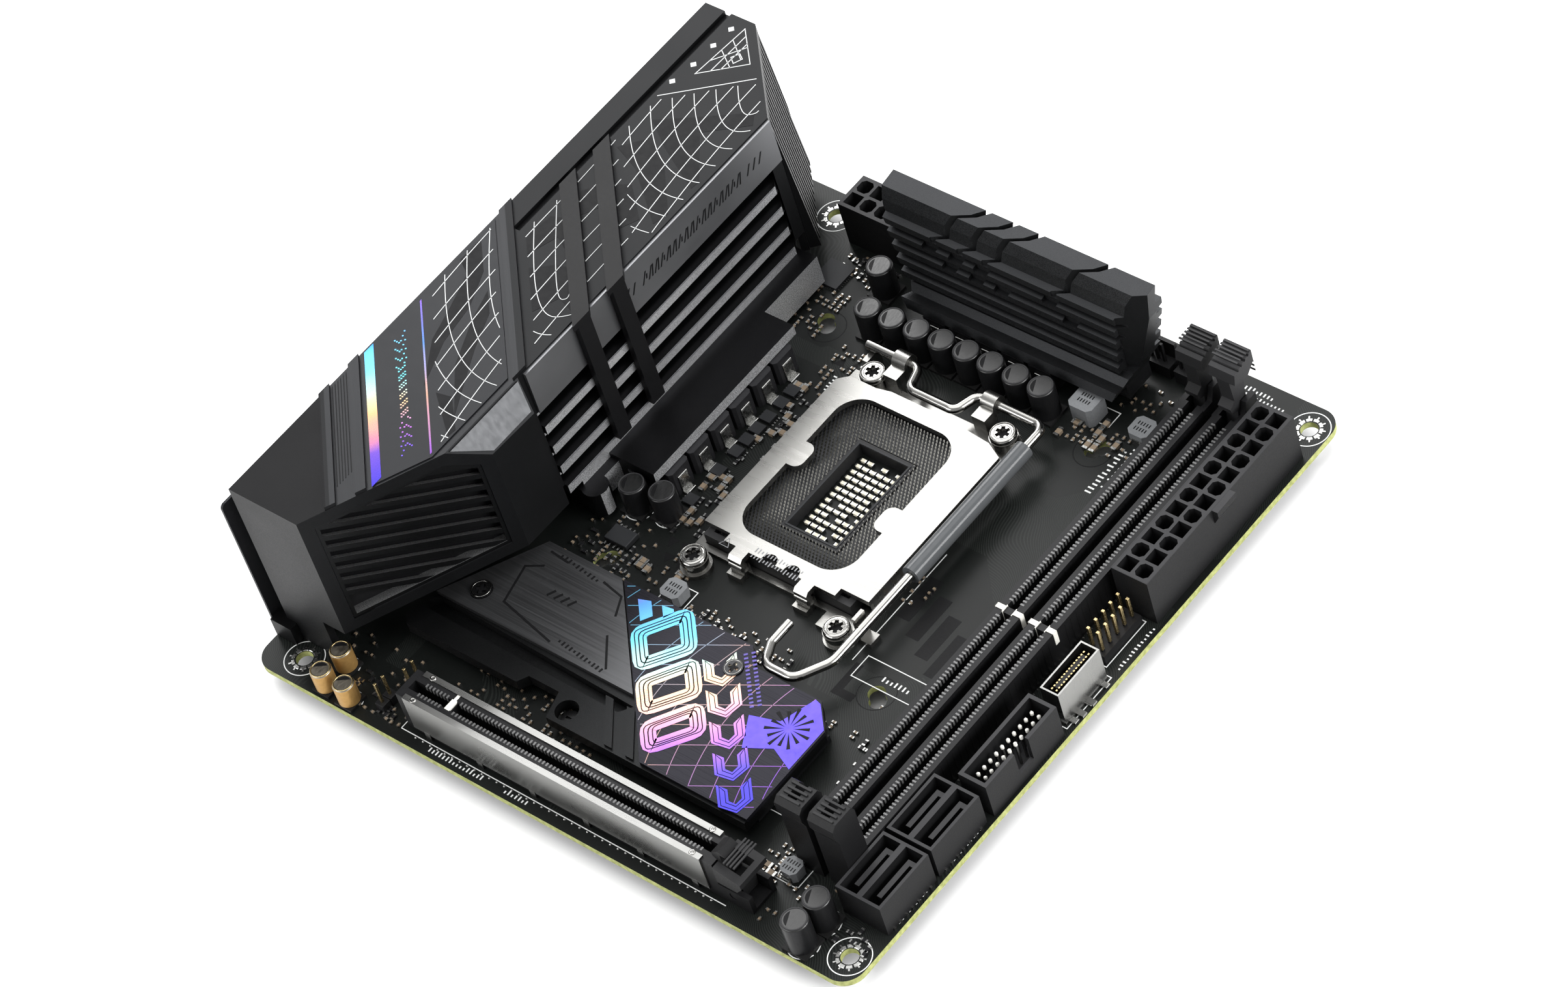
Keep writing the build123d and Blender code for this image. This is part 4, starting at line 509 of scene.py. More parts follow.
CAD_FINISH = (
    (solder_mask, "circuit_board"),
    (black_plastic, "socket_body memory_latch_a expansion_slot_latch audio_sockets flash_switch"),
    (chip_black, "socket_contacts power_stages control_chips chipset"),
    (plate_steel, "socket_frame load_plate socket_backplate"),
    (wire_steel, "load_lever socket_screws heatsink_screws"),
    (smoky_sleeve, "lever_sleeve"),
    (slot_plastic, "memory_slot_a memory_slot_b expansion_slot usb_c_header_core front_panel_header "
                   "fan_headers drive_sockets"),
    (grey_plastic_and_edge_highlight, "memory_latch_b"),
    (tin, "expansion_slot_shell power_pins usb_header_pins usb_c_header_shell usb_sockets network_socket "
          "usb_c_socket display_sockets clock_battery"),
    (power_plastic, "main_power_socket processor_power_socket drive_port_a drive_port_b usb_header"),
    (cover_shell, "rear_cover"),
    (slat_grey, "louvre_grille"),
    (badge_grey, "cover_badge"),
    (accent_grey_and_glint, "cover_band"),
    (bar_gloss, "cover_bars"),
    (label_gloss, "cover_label"),
    (rear_fins, "rear_heatsink"),
    (side_fins, "side_heatsink"),
    (pad_soft, "thermal_pads"),
    (choke_powder, "power_chokes"),
    (drive_sink, "drive_heatsink_base"),
    (plate_brushed, "drive_cover_plate"),
    (print_base, "drive_print_plate"),
    (screw_black, "drive_heatsink_screws"),
    (cap_black, "board_capacitors"),
    (cap_gold, "audio_capacitors"),
    (inductor_powder, "power_inductors"),
    (gold, "wireless_module"),
    (button_pale, "flash_button"),
    (shield_print, "rear_shield"),
)
for material, names in CAD_FINISH:
    for name in names.split():
        nodes[name].data.materials.clear()
        nodes[name].data.materials.append(material)

# ---------------------------------------------------------------- shape helpers
CUBE = np.array([[x, y, z] for z in (-.5, .5) for y in (-.5, .5) for x in (-.5, .5)])
CUBE_FACES = np.array([[0, 2, 3, 1], [4, 5, 7, 6], [0, 1, 5, 4], [2, 6, 7, 3], [0, 4, 6, 2], [1, 3, 7, 5]])


def boxes(centres, sizes, turns=0.0):
    """Many boxes at once: eight corners scaled by each size, turned about Z and moved to each centre."""
    centres = np.atleast_2d(np.asarray(centres, float))
    n = len(centres)
    sizes = np.broadcast_to(np.asarray(sizes, float), (n, 3))
    turns = np.broadcast_to(np.asarray(turns, float), (n,))
    p = CUBE[None] * sizes[:, None]
    c, s = np.cos(turns)[:, None], np.sin(turns)[:, None]
    q = np.stack([p[..., 0] * c - p[..., 1] * s, p[..., 0] * s + p[..., 1] * c, p[..., 2]], -1) + centres[:, None]
    f = CUBE_FACES[None] + 8 * np.arange(n)[:, None, None]
    return q.reshape(-1, 3), f.reshape(-1, 4)


def spans(rows):
    """Boxes from rows of x0, x1, y0, y1, z0, z1."""
    r = np.atleast_2d(np.asarray(rows, float))
    lo, hi = r[:, 0::2], r[:, 1::2]
    return boxes((lo + hi) / 2, hi - lo)


def sweep(profile, path, closed=False, up=(0, 0, 1)):
    """A closed profile of (across, along-up) offsets carried along a path with mitred corners; the ends are capped."""
    path, profile, up = np.asarray(path, float), np.asarray(profile, float), np.asarray(up, float)
    if closed:
        before, after = np.roll(path, 1, 0), np.roll(path, -1, 0)
    else:
        before = np.vstack([2 * path[0] - path[1], path[:-1]])
        after = np.vstack([path[1:], 2 * path[-1] - path[-2]])
    d0, d1 = path - before, after - path
    d0 /= np.linalg.norm(d0, axis=1)[:, None]
    d1 /= np.linalg.norm(d1, axis=1)[:, None]
    t = d0 + d1
    t /= np.linalg.norm(t, axis=1)[:, None]
    across = np.cross(t, up)
    across /= np.linalg.norm(across, axis=1)[:, None]
    stretch = 1 / np.clip((t * d1).sum(1), 0.35, 1)
    v = path[:, None] + across[:, None] * profile[None, :, :1] * stretch[:, None, None] + up * profile[None, :, 1:]
    n, k = len(path), len(profile)
    i = np.arange(n if closed else n - 1)
    a = (i[:, None] * k + np.arange(k)[None]).ravel()
    b = (i[:, None] * k + (np.arange(k)[None] + 1) % k).ravel()
    shift = k * n
    f = np.stack([a, b, (b + k) % shift, (a + k) % shift], -1).tolist()
    if not closed:
        f += [list(range(k))[::-1], list(range((n - 1) * k, n * k))]
    return v.reshape(-1, 3), f


def bead(foot, crown, z0, z1):
    """Four-sided profile, foot each side of the middle at z0 and crown each side at z1."""
    return [(-foot, z0), (foot, z0), (crown, z1), (-crown, z1)]


def flat(w, t):
    """Profile of a thin strip, w wide and t thick."""
    return bead(w / 2, w / 2, 0.0, t)


def turned(pts, x, y, angle):
    """Flat points turned by an angle and moved to x, y."""
    c, s = math.cos(angle), math.sin(angle)
    return [(x + u * c - v * s, y + u * s + v * c) for u, v in pts]


def lattice(xs, ys, z):
    """Every x with every y, all at one height."""
    gx, gy = np.meshgrid(xs, ys)
    return np.stack([gx.ravel(), gy.ravel(), np.full(gx.size, z)], -1)


def ring_path(x, y, z, r, n=40, a0=0.0, a1=360.0):
    """Points on a circle, or on part of one."""
    full = abs(a1 - a0) >= 360
    a = np.radians(np.linspace(a0, a1, n, endpoint=not full))
    return np.stack([x + r * np.cos(a), y + r * np.sin(a), np.full(n, z)], -1)


def hoop(profile, x, y, z, r, n):
    """A profile carried once round a level circle."""
    return sweep(profile, ring_path(x, y, z, r, n), True)


def upright_hoop(profile, x, y, z, r, n):
    """A profile carried once round a circle that faces the rear."""
    ring = ring_path(0, 0, 0, r, n)
    return sweep(profile, np.stack([np.full(n, x), y + ring[:, 0], z + ring[:, 1]], -1), True, up=(-1, 0, 0))


def lathe(profile, x, y, n=24):
    """A (radius, height) profile turned about an upright axis at x, y."""
    p = np.asarray(profile, float)
    a = np.linspace(0, 2 * math.pi, n, endpoint=False)
    v = np.stack([x + p[None, :, 0] * np.cos(a)[:, None], y + p[None, :, 0] * np.sin(a)[:, None],
                  np.broadcast_to(p[None, :, 1], (n, len(p)))], -1)
    k = len(p)
    i, j = np.meshgrid(np.arange(n), np.arange(k - 1), indexing="ij")
    a0, a1 = (i * k + j).ravel(), (((i + 1) % n) * k + j).ravel()
    return v.reshape(-1, 3), np.stack([a0, a1, a1 + 1, a0 + 1], -1).tolist()


def plate(points, z0, z1):
    """A flat polygon with thickness; points run anticlockwise seen from above."""
    p = np.asarray(points, float)
    if (p[:, 0] * np.roll(p[:, 1], -1) - np.roll(p[:, 0], -1) * p[:, 1]).sum() < 0:
        p = p[::-1]
    n = len(p)
    v = np.vstack([np.c_[p, np.full(n, z0)], np.c_[p, np.full(n, z1)]])
    f = [list(range(n))[::-1], list(range(n, 2 * n))]
    f += [[i, (i + 1) % n, n + (i + 1) % n, n + i] for i in range(n)]
    return v, f


def merge(parts):
    """Several (points, faces) as one."""
    vs, fs, at = [], [], 0
    for v, f in parts:
        v = np.asarray(v, float)
        vs.append(v)
        fs += [[int(k) + at for k in face] for face in f]
        at += len(v)
    return np.vstack(vs), fs


def piece(name, shape, material, body="board", bevel=0.0, smooth=False):
    """One finished piece from board-millimetre points; it rides on a body."""
    if isinstance(shape, list):
        shape = merge(shape)
    v, f = shape
    me = bpy.data.meshes.new(name)
    me.from_pydata(((np.asarray(v) - DATUM) * MM).tolist(), [], [tuple(int(k) for k in a) for a in f])
    me.validate()
    me.update()
    me.materials.append(material)
    if smooth:
        me.polygons.foreach_set("use_smooth", [True] * len(me.polygons))
    ob = bpy.data.objects.new(name, me)
    bpy.context.scene.collection.objects.link(ob)
    if bevel:
        b = ob.modifiers.new("edge", "BEVEL")
        b.width, b.segments, b.limit_method = bevel * MM, 2, "ANGLE"
    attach(ob, body)
    return ob


# ---------------------------------------------------------------- laminate: printing, pads and solder
def cluster(seed, x0, x1, y0, y1, n, gap=1.9):
    """Places for small parts: a jittered grid over a rectangle, thinned at random to n."""
    rng = np.random.default_rng(seed)
    gx, gy = np.meshgrid(np.arange(x0, x1, gap), np.arange(y0, y1, gap * 0.72))
    p = np.stack([gx.ravel(), gy.ravel()], -1) + rng.uniform(-0.15, 0.15, (gx.size, 2))
    keep = rng.permutation(len(p))[:n]
    return p[keep], rng.integers(0, 2, len(keep))


def chip_parts(name, areas, body_size=(1.0, 0.55, 0.5), material=ceramic_tan):
    """Surface-mount parts: a ceramic body between two bright end caps, each turned along X or Y."""
    bodies, ends = [], []
    for k, (x0, x1, y0, y1, n) in enumerate(areas):
        p, turn = cluster(k + len(name), x0, x1, y0, y1, n)
        l, w, h = body_size
        a = turn * math.pi / 2
        mid = np.c_[p, np.full(len(p), TOP + h / 2 + 0.02)]
        bodies.append(boxes(mid, (l * 0.62, w * 0.96, h * 0.94), a))
        along = np.stack([np.cos(a), np.sin(a), np.zeros(len(p))], -1) * l * 0.42
        ends.append(boxes(np.vstack([mid - along, mid + along]), (l * 0.26, w, h), np.r_[a, a]))
    piece(name + "_bodies", bodies, material)
    piece(name + "_ends", ends, solder)


# rows of x0, x1, y0, y1 and how many
chip_parts("decoupling_parts", [
    (42, 60, 58, 75, 46), (60, 72, 64, 70, 10), (60, 68, 120, 134, 26),
    (42, 52, 133, 146, 34), (44, 56, 150, 157, 20), (64, 104, 55.5, 61.5, 46), (117, 122, 84, 92, 8),
    (120, 140, 137, 143, 34), (100, 134, 47, 52, 22), (134, 141, 6, 24, 34), (143, 153, 4, 18, 16),
    (34, 42, 3, 16, 20), (12, 42, 13, 19, 14), (44, 84, 14, 19, 42), (48, 76, 19.5, 26, 32),
    (125, 143, 150, 158, 30), (24, 32, 3, 8, 10)])
chip_parts("filter_parts", [(60, 68, 74, 120, 40), (44, 58, 60, 66, 12), (70, 110, 56, 61, 16), (22, 42, 4, 12, 16),
                            (46, 60, 152, 157, 12), (134, 141, 24, 50, 16), (156, 168, 8, 13, 8)],
           (1.5, 0.8, 0.55), resistor_black)
chip_parts("bulk_parts", [(58, 67, 76, 122, 22), (118, 136, 137, 144, 10), (60, 70, 60, 68, 6), (134, 140, 10, 22, 5)],
           (2.2, 1.3, 0.9), ceramic_tan)


LINE, INK = 0.22, 0.03                    # width and thickness of a printed line


def marks(name, strips, material=silk_white, width=LINE, thick=INK, z=TOP):
    """Printed lines: each strip is a list of points, drawn as a thin raised ribbon on a surface."""
    out = []
    for pts in strips:
        closed = pts[0] == pts[-1]
        p = pts[:-1] if closed else pts
        out.append(sweep(flat(width, thick), [(x, y, z) for x, y in p], closed))
    return piece(name, out, material)


def outline(x0, x1, y0, y1):
    return [(x0, y0), (x1, y0), (x1, y1), (x0, y1), (x0, y0)]


def dashes(x0, y0, x1, y1, n, fill=0.6):
    """n short lines spaced evenly between two points."""
    t = np.arange(n) / n
    a = np.array([x0, y0]) + np.outer(t, [x1 - x0, y1 - y0])
    b = np.array([x0, y0]) + np.outer(t + fill / n, [x1 - x0, y1 - y0])
    return [[tuple(p), tuple(q)] for p, q in zip(a.tolist(), b.tolist())]


# standoff holes of the board
HOLES = [(10.16, 6.35), (33.02, 163.83), (165.10, 6.35), (165.10, 163.83)]
piece("hole_rings", [hoop(flat(LINE, INK), x, y, TOP, 4.65, 48) for x, y in HOLES], silk_white)


def star_pad(x, y):
    """Bright solder ring round a hole, cut into ten petals, with a small block outside the middle of each."""
    parts = []
    for k in range(10):
        a = 36 * k
        parts.append(sweep(bead(0.45, 0.34, 0, 0.10), ring_path(x, y, TOP, 2.62, 5, a + 4, a + 32)))
        mid = math.radians(a + 18)
        spot = (x + 3.3 * math.cos(mid), y + 3.3 * math.sin(mid), TOP + 0.06)
        parts.append(boxes([spot], (0.7, 0.35, 0.12), mid))
    return parts


piece("hole_pads", sum([star_pad(x, y) for x, y in HOLES], []), solder)
COOLER = [(SOCKET[0] + i * 37.5, SOCKET[1] + j * 37.5) for i in (-1, 1) for j in (-1, 1)]
piece("cooler_hole_rims", [hoop(flat(LINE, 0.02), x, y, TOP, 4.4, 40) for x, y in COOLER], dark_ink_and_shade)

printed = [outline(119.6, 137.8, 62.6, 68.6), outline(121.0, 131.6, 26.8, 30.2)]
printed += [[(139.2, 22), (139.2, 62)], [(139.2, 92), (139.2, 148)], [(137.9, 22), (137.9, 58)]]
printed += dashes(139.9, 64, 139.9, 92, 12) + dashes(138.6, 94, 138.6, 130, 15, 0.5)
printed += dashes(117.2, 66, 117.2, 120, 1) + dashes(139.9, 96, 139.9, 118, 6, 0.75)
printed += [outline(160.0, 165.9, 91.1, 104.8), outline(162.7, 168.5, 74.2, 89.4)]
printed += [[(42.4, 3.0), (134.6, 3.0)], [(42.4, 13.0), (134.6, 13.0)], [(42.4, 3.0), (42.4, 13.0)]]
printed += [outline(119.6, 126.4, 143.6, 147.9), outline(134.4, 138.0, 143.2, 147.3)]
printed += [outline(138.9, 144.9, 13.9, 19.3), outline(68.9, 75.9, 57.3, 63.5)]
printed += [ring_path(x, y, 0, 3.5, 24)[:, :2].tolist() for x, y in
            [(155.4, 10.2), (155.0, 3.7), (48.9, 75.6), (56.3, 77.2)]]
printed += [ring_path(x, y, 0, 2.8, 16, 10, 170)[:, :2].tolist() for x, y in [(20.5, 9.4), (27.5, 2.8)]]
marks("printed_outlines", printed)
rng = np.random.default_rng(7)


def tick_line(x, y, n, step, along=(1, 0), high=1.2):
    """Coded marks in place of words: short upright bars of three heights."""
    h = high * rng.choice([0.55, 0.8, 1.0], n)
    k = np.arange(n) * step
    cx, cy = x + k * along[0] - along[1] * h / 2, y + k * along[1] + along[0] * h / 2
    c = np.stack([cx, cy, np.full(n, TOP + INK / 2)], -1)
    turn = math.atan2(along[1], along[0])
    return boxes(c, np.stack([np.full(n, step * 0.36), h, np.full(n, 0.03)], -1), turn)


piece("printed_codes", [
    tick_line(52, 1.2, 16, 1.0), tick_line(74, 1.2, 7, 1.0), tick_line(136.6, 128.4, 12, 1.15, (0.0, 1.0), 1.6),
    tick_line(134.2, 127.0, 12, 1.15, (0.0, 1.0), 1.6), tick_line(168.9, 18, 9, 1.1, (0, 1)),
    tick_line(168.9, 36, 9, 1.1, (0, 1)), tick_line(168.8, 52, 16, 1.0, (0, 1), 0.8),
    tick_line(168.8, 92, 13, 1.0, (0, 1), 0.8), tick_line(121.9, 28.0, 9, 1.0, (1, 0), 1.0),
    tick_line(126.5, 64.6, 7, 1.1, (1, 0), 1.6), tick_line(144, 164.6, 14, 1.0), tick_line(146, 166.4, 8, 1.0),
    tick_line(140.6, 28, 9, 1.1, (0, 1), 1.2), tick_line(37, 168.2, 5, 1.0), tick_line(64, 122, 5, 1.0, (0, 1), 0.9)],
    silk_white)


def triangles(rows, size=2.6):
    """Flat three-sided marks at x, y pointing along an angle in degrees."""
    out = []
    pts = [(size / 2, 0), (-size / 2, size * 0.55), (-size / 2, -size * 0.55)]
    for x, y, a in rows:
        out.append(plate(turned(pts, x, y, math.radians(a)), TOP, TOP + INK))
    return out


piece("dark_triangles", triangles([(62 + 3.6 * i, 130.2 + 0.2 * i, 90) for i in range(3)]
                                  + [(61.5 + 3.6 * i, 71.5, -90) for i in range(3)]
                                  + [(63.5 + 3.6 * i, 67.6, -90) for i in range(3)]), dark_ink_and_shade)
# broad dark shapes printed on the mask beside the socket
shade = [plate([(118 + 5 * k, 80 - 3.2 * k), (121.5 + 5 * k, 80 - 3.2 * k), (121.5 + 5 * k, 92 - 3.2 * k),
                (118 + 5 * k, 92 - 3.2 * k)], TOP, TOP + 0.02) for k in range(4)]
shade += [plate([(118.4, 57), (124, 57), (124, 59), (120.4, 59), (120.4, 66), (118.4, 66)], TOP, TOP + 0.02)]
piece("printed_shade", shade, dark_ink_and_shade)


def solder_row(x0, x1, y, n, r=0.42):
    """A row of shallow solder domes, eight sides each."""
    return [lathe([(r, TOP), (r * 0.8, TOP + 0.16), (0.02, TOP + 0.26)], x, y, 8) for x in np.linspace(x0, x1, n)]


piece("expansion_solder", solder_row(47, 131, 2.6, 40, 0.3) + solder_row(46, 130, 13.6, 40, 0.3), solder, smooth=True)
# underside: solder points under every through-hole part
under = []
for x0, x1, y0, y1, nx, ny in [(142.6, 155.4, 22, 150, 5, 72), (160.5, 166.8, 107.7, 154.8, 2, 12),
                               (42.9, 56.6, 161.2, 166.2, 4, 2), (46, 131, 6, 10.2, 42, 2),
                               (163.5, 167.6, 51, 70.6, 2, 10), (160.9, 163.5, 92.8, 103, 2, 5),
                               (6, 22, 32, 60, 6, 10), (6, 18, 86, 100, 6, 8), (6, 18, 106, 118, 5, 5)]:
    under.append(boxes(lattice(np.linspace(x0, x1, nx), np.linspace(y0, y1, ny), -0.25), (0.7, 0.7, 0.5), math.pi / 4))
piece("underside_solder", under, solder)
low, mirror_parts = [], []
for k, (x0, x1, y0, y1, n) in enumerate([(72, 108, 78, 120, 90), (120, 138, 60, 130, 60), (50, 62, 70, 130, 50),
                                         (60, 120, 20, 56, 110), (60, 130, 138, 156, 60)]):
    p, turn = cluster(50 + k, x0, x1, y0, y1, n, 2.4)
    low.append(boxes(np.c_[p, np.full(len(p), -0.27)], (0.62, 0.53, 0.46), turn * math.pi / 2))
    a = turn * math.pi / 2
    step = np.stack([np.cos(a), np.sin(a), np.zeros(len(p))], -1) * 0.42
    c = np.c_[p, np.full(len(p), -0.28)]
    mirror_parts.append(boxes(np.vstack([c - step, c + step]), (0.26, 0.56, 0.5), np.r_[a, a]))
piece("underside_part_bodies", low, ceramic_tan)
piece("underside_part_ends", mirror_parts, solder)

# ---------------------------------------------------------------- processor socket
def contact_field():
    """Rows of spring contacts: each is a small leaning leaf; a grid over the pocket, less the well and any points past
    x 108.5.
    """
    gx, gy = np.meshgrid(np.arange(71.9, 108.6, 0.92), np.arange(77.2, 121.4, 0.80))
    gx[1::2] += 0.46
    x, y = gx.ravel(), gy.ravel()
    well = (np.abs(x - SOCKET[0]) < 7.6) & (np.abs(y - SOCKET[1]) < 13.3)
    k = ~(well | (x > 108.5))
    x, y = x[k], y[k]
    n = len(x)
    leaf = np.array([(-.25, -.10, 4.5), (.25, -.10, 4.5), (.25, .02, 4.5), (-.25, .02, 4.5),
                     (-.16, .26, 4.98), (.16, .26, 4.98), (.16, .34, 4.90), (-.16, .34, 4.90)])
    v = leaf[None] + np.stack([x, y, np.zeros(n)], -1)[:, None]
    f = np.array([[0, 1, 5, 4], [2, 3, 7, 6], [1, 2, 6, 5], [3, 0, 4, 7], [4, 5, 6, 7], [3, 2, 1, 0]])
    return v.reshape(-1, 3), (f[None] + 8 * np.arange(n)[:, None, None]).reshape(-1, 4)


piece("contact_leaves", contact_field(), contact_gold)
wp = lattice(np.linspace(85.0, 95.0, 6), np.linspace(88.4, 109.8, 13), TOP + 0.45)
wp = wp[np.random.default_rng(3).random(len(wp)) > 0.12]
piece("well_parts", boxes(wp, (1.25, 0.8, 0.7)), ceramic_pale, bevel=0.06)
piece("well_part_ends", boxes(np.vstack([wp + (0.66, 0, 0), wp - (0.66, 0, 0)]), (0.28, 0.84, 0.72)), solder)
piece("well_rim", sweep(flat(0.44, 0.5), [(82.9, 86.3, 4.5), (97.1, 86.3, 4.5), (97.1, 111.9, 4.5),
                                          (82.9, 111.9, 4.5)], True), chip_black)

SCREWS = [(73.3, 128.6), (109.9, 128.6), (71.2, 68.9), (111.6, 68.9)]


def lobed(x, y, r, depth, n=36):
    """Six-lobed outline: the radius swings by depth six times round."""
    a = np.linspace(0, 2 * math.pi, n, endpoint=False)
    q = r + depth * np.cos(6 * a)
    return np.stack([x + q * np.cos(a), y + q * np.sin(a)], -1)


# Dark six-lobed plates on the socket screws: painted shade standing in for their recesses.
piece("screw_lobes", [plate(lobed(x, y, 1.35, 0.22), 4.9, 5.12) for x, y in SCREWS], dark_ink_and_shade)
piece("screw_edges", [hoop(bead(0.12, 0.05, 0, 0.1), x, y, 6.2, r, 32) for x, y in SCREWS for r in (1.95, 2.75)],
      wire_steel, smooth=True)
piece("screw_collars", [hoop(bead(0.15, 0.1, 0, 0.12), x, y, 5.0, 3.15, 32) for x, y in SCREWS], wire_steel)
# stamped marks on the load plate: a small outlined triangle and two rows of coded ticks
lo, hi = span("load_plate")
tri = [(75.4, 73.4), (77.9, 73.4), (76.65, 75.6), (75.4, 73.4)]
piece("plate_marks", [sweep(flat(0.16, 0.02), [(x, y, hi[2]) for x, y in tri[:-1]], True)], accent_grey_and_glint, "load_plate")
k = np.arange(16)
hh = np.random.default_rng(5).choice([0.7, 1.0, 1.3], 32)
piece("plate_codes", boxes(np.stack([np.r_[84 + 0.85 * k, 84 + 0.85 * k], np.r_[np.full(16, 76.0), np.full(16, 74.2)],
                                     np.full(32, hi[2] + 0.01)], -1),
                           np.stack([np.full(32, 0.3), hh, np.full(32, 0.02)], -1)), accent_grey_and_glint, "load_plate")

# ---------------------------------------------------------------- memory and expansion slots
DIMM_X = (144.6, 153.4)                   # middles of the memory slots
EXPANSION_Y = 8                           # middle of the expansion slot


def teeth(name, xs, ys, z, size, material, body="board"):
    """Rows of small contact fingers at every x and y."""
    return piece(name, boxes(lattice(xs, ys, z), size), material, body)


ys = np.arange(27.0, 150.0, 0.95)
ys = ys[np.abs(ys - 88.1) > 1.7]
teeth("memory_contacts", [x + s * 1.46 for x in DIMM_X for s in (-1, 1)], ys, 10.0, (0.95, 0.42, 1.3), contact_grey)
teeth("memory_wall_ribs", [x + s * 3.17 for x in DIMM_X for s in (-1, 1)], ys[::2], 6.0, (0.06, 0.7, 7.4), slot_plastic)
# white key clips: a strip bent over both walls of the slot with feet down its sides
key = []
for x in DIMM_X:
    for s in (-1, 1):
        for d, half, y0, y1, z0, z1 in ((2.3, 1.05, 87.5, 88.7, 10.6, 10.82), (3.28, 0.1, 87.5, 88.7, 7.2, 10.82),
                                        (1.24, 0.08, 87.1, 89.1, 7.4, 10.75)):
            key.append((x + s * d - half, x + s * d + half, y0, y1, z0, z1))
piece("memory_keys", spans(key), key_white, bevel=0.05)
teeth("memory_solder_tails", [141.05, 148.1, 149.9, 157.0], np.linspace(24, 150, 90), TOP + 0.12, (0.5, 0.34, 0.24),
      solder)
# ribbed grips on the fixed ends and on the tilting latches
grip = [(x - 2.6, x + 2.6, 19.6 + 1.3 * k, 20.2 + 1.3 * k, 24.38, 24.72) for x in DIMM_X for k in range(4)]
piece("fixed_end_grips", spans(grip), black_plastic, bevel=0.1)
for tag, x in zip("ab", DIMM_X):
    lo, hi = span("memory_latch_" + tag)
    ribs = [(x - 3.3, x + 3.3, y, y + 0.5, hi[2] - 0.02, hi[2] + 0.28)
            for y in np.arange(lo[1] + 3.4, hi[1] - 0.6, 1.0)]
    ribs += [(x - 3.3, x + 3.3, hi[1] - 0.02, hi[1] + 0.22, z, z + 0.55) for z in (19.2, 20.6, 22.0, 23.4)]
    piece("memory_latch_%s_ribs" % tag, spans(ribs), grey_plastic_and_edge_highlight if tag == "b" else black_plastic,
          "memory_latch_" + tag, bevel=0.08)

xs = np.arange(48.5, 129.5, 1.0)
xs = xs[np.abs(xs - 56.6) > 1.2]
teeth("expansion_contacts", xs, [EXPANSION_Y - 1.42, EXPANSION_Y + 1.42], 12.25, (0.46, 0.86, 1.26), contact_grey)
piece("expansion_key", spans([(55.9, 57.3, 6.6, 9.4, 11.2, 13.0), (56.2, 57.0, 9.2, 11.4, 12.9, 13.02)]), key_white,
      bevel=0.1)
lo, hi = span("expansion_slot_shell")
rivets = []
for x in (48.6, 127.6):
    rivets += [lathe([(0.75, hi[2]), (0.7, hi[2] + 0.12), (0.34, hi[2] + 0.14), (0.3, hi[2] + 0.02)], x, y, 16)
               for y in (lo[1] + 0.8, hi[1] - 0.8)]
piece("shell_rivets", rivets, wire_steel, smooth=True)
piece("shell_tabs", spans([(x - 0.8, x + 0.8, y - 0.16, y + 0.16, TOP, 3.6) for x in np.linspace(50, 126, 6)
                           for y in (3.9, 12.1)]), tin)
lo, hi = span("expansion_slot_latch")
grip = [(hi[0] - 3.6 + 0.9 * k, hi[0] - 3.1 + 0.9 * k, 4.3, 11.7, hi[2] - 0.4, hi[2] - 0.06) for k in range(4)]
piece("expansion_latch_grips", spans(grip), black_plastic, "expansion_latch", bevel=0.08)

# ---------------------------------------------------------------- connectors
PITCH = 2.54                              # spacing of the header pins
cells = [(x, y) for x in (161.15, 165.95) for y in np.arange(12) * 4.2 + 108.2]
piece("power_contacts", spans([(x - 0.9, x + 0.9, y + d, y + d + 0.2, 3.4, 8.6) for x, y in cells
                               for d in (-0.9, 0.7)]), contact_grey)
# Grey lines round the socket's top edges: a painted highlight where the edges catch the light.
left, right, front, rear = 158.95, 168.15, 105.8, 156.95
edge_lines = [[(left, front), (left, rear)], [(right, front), (right, rear)], [(left, front), (right, front)],
              [(left, rear), (right, rear)]]
marks("power_socket_edges", edge_lines, grey_plastic_and_edge_highlight, 0.16, 0.03, 14.4)
lo, hi = span("usb_header_pins")
px, py = (lo[0] + 0.3, hi[0] - 0.3), np.linspace(lo[1] + 0.3, hi[1] - 0.3, 10)
tips = [lathe([(0.30, 8.9), (0.42, 9.0), (0.42, 9.65), (0.2, 9.84), (0.01, 9.86)], x, y, 10) for x in px for y in py]
piece("usb_header_tips", tips, key_white, smooth=True)
lo, hi = span("front_panel_header")
pins = lattice(*(np.linspace(lo[k] + PITCH / 2, hi[k] - PITCH / 2, n) for k, n in ((0, 2), (1, 5))), 7.4)
piece("panel_pin_sleeves", boxes(pins, (0.72, 0.72, 5.7)), gold, bevel=0.1)
lo, hi = span("usb_c_header_shell")
teeth("usb_c_header_contacts", [165.0, 166.2], np.linspace(lo[1] + 1.6, hi[1] - 1.6, 14), 9.6, (0.34, 0.42, 1.8), gold)
piece("usb_c_header_feet", spans([(x0, x1, y - 0.7, y + 0.7, TOP, 2.2) for y in (76.5, 81.8, 87.1)
                                  for x0, x1 in ((162.4, 163.3), (168.0, 169.6))]), solder, bevel=0.1)
for tag in "ab":
    lo, hi = span("drive_port_" + tag)
    sides = ((hi[0] - 0.05, hi[0] + 0.3), (lo[0] - 0.5, lo[0] + 0.02))
    legs = [(x0, x1, y - 0.3, y + 0.3, TOP, 2.1) for x0, x1 in sides for y in np.linspace(lo[1] + 2, hi[1] - 2, 7)]
    piece("drive_port_%s_legs" % tag, spans(legs), solder)

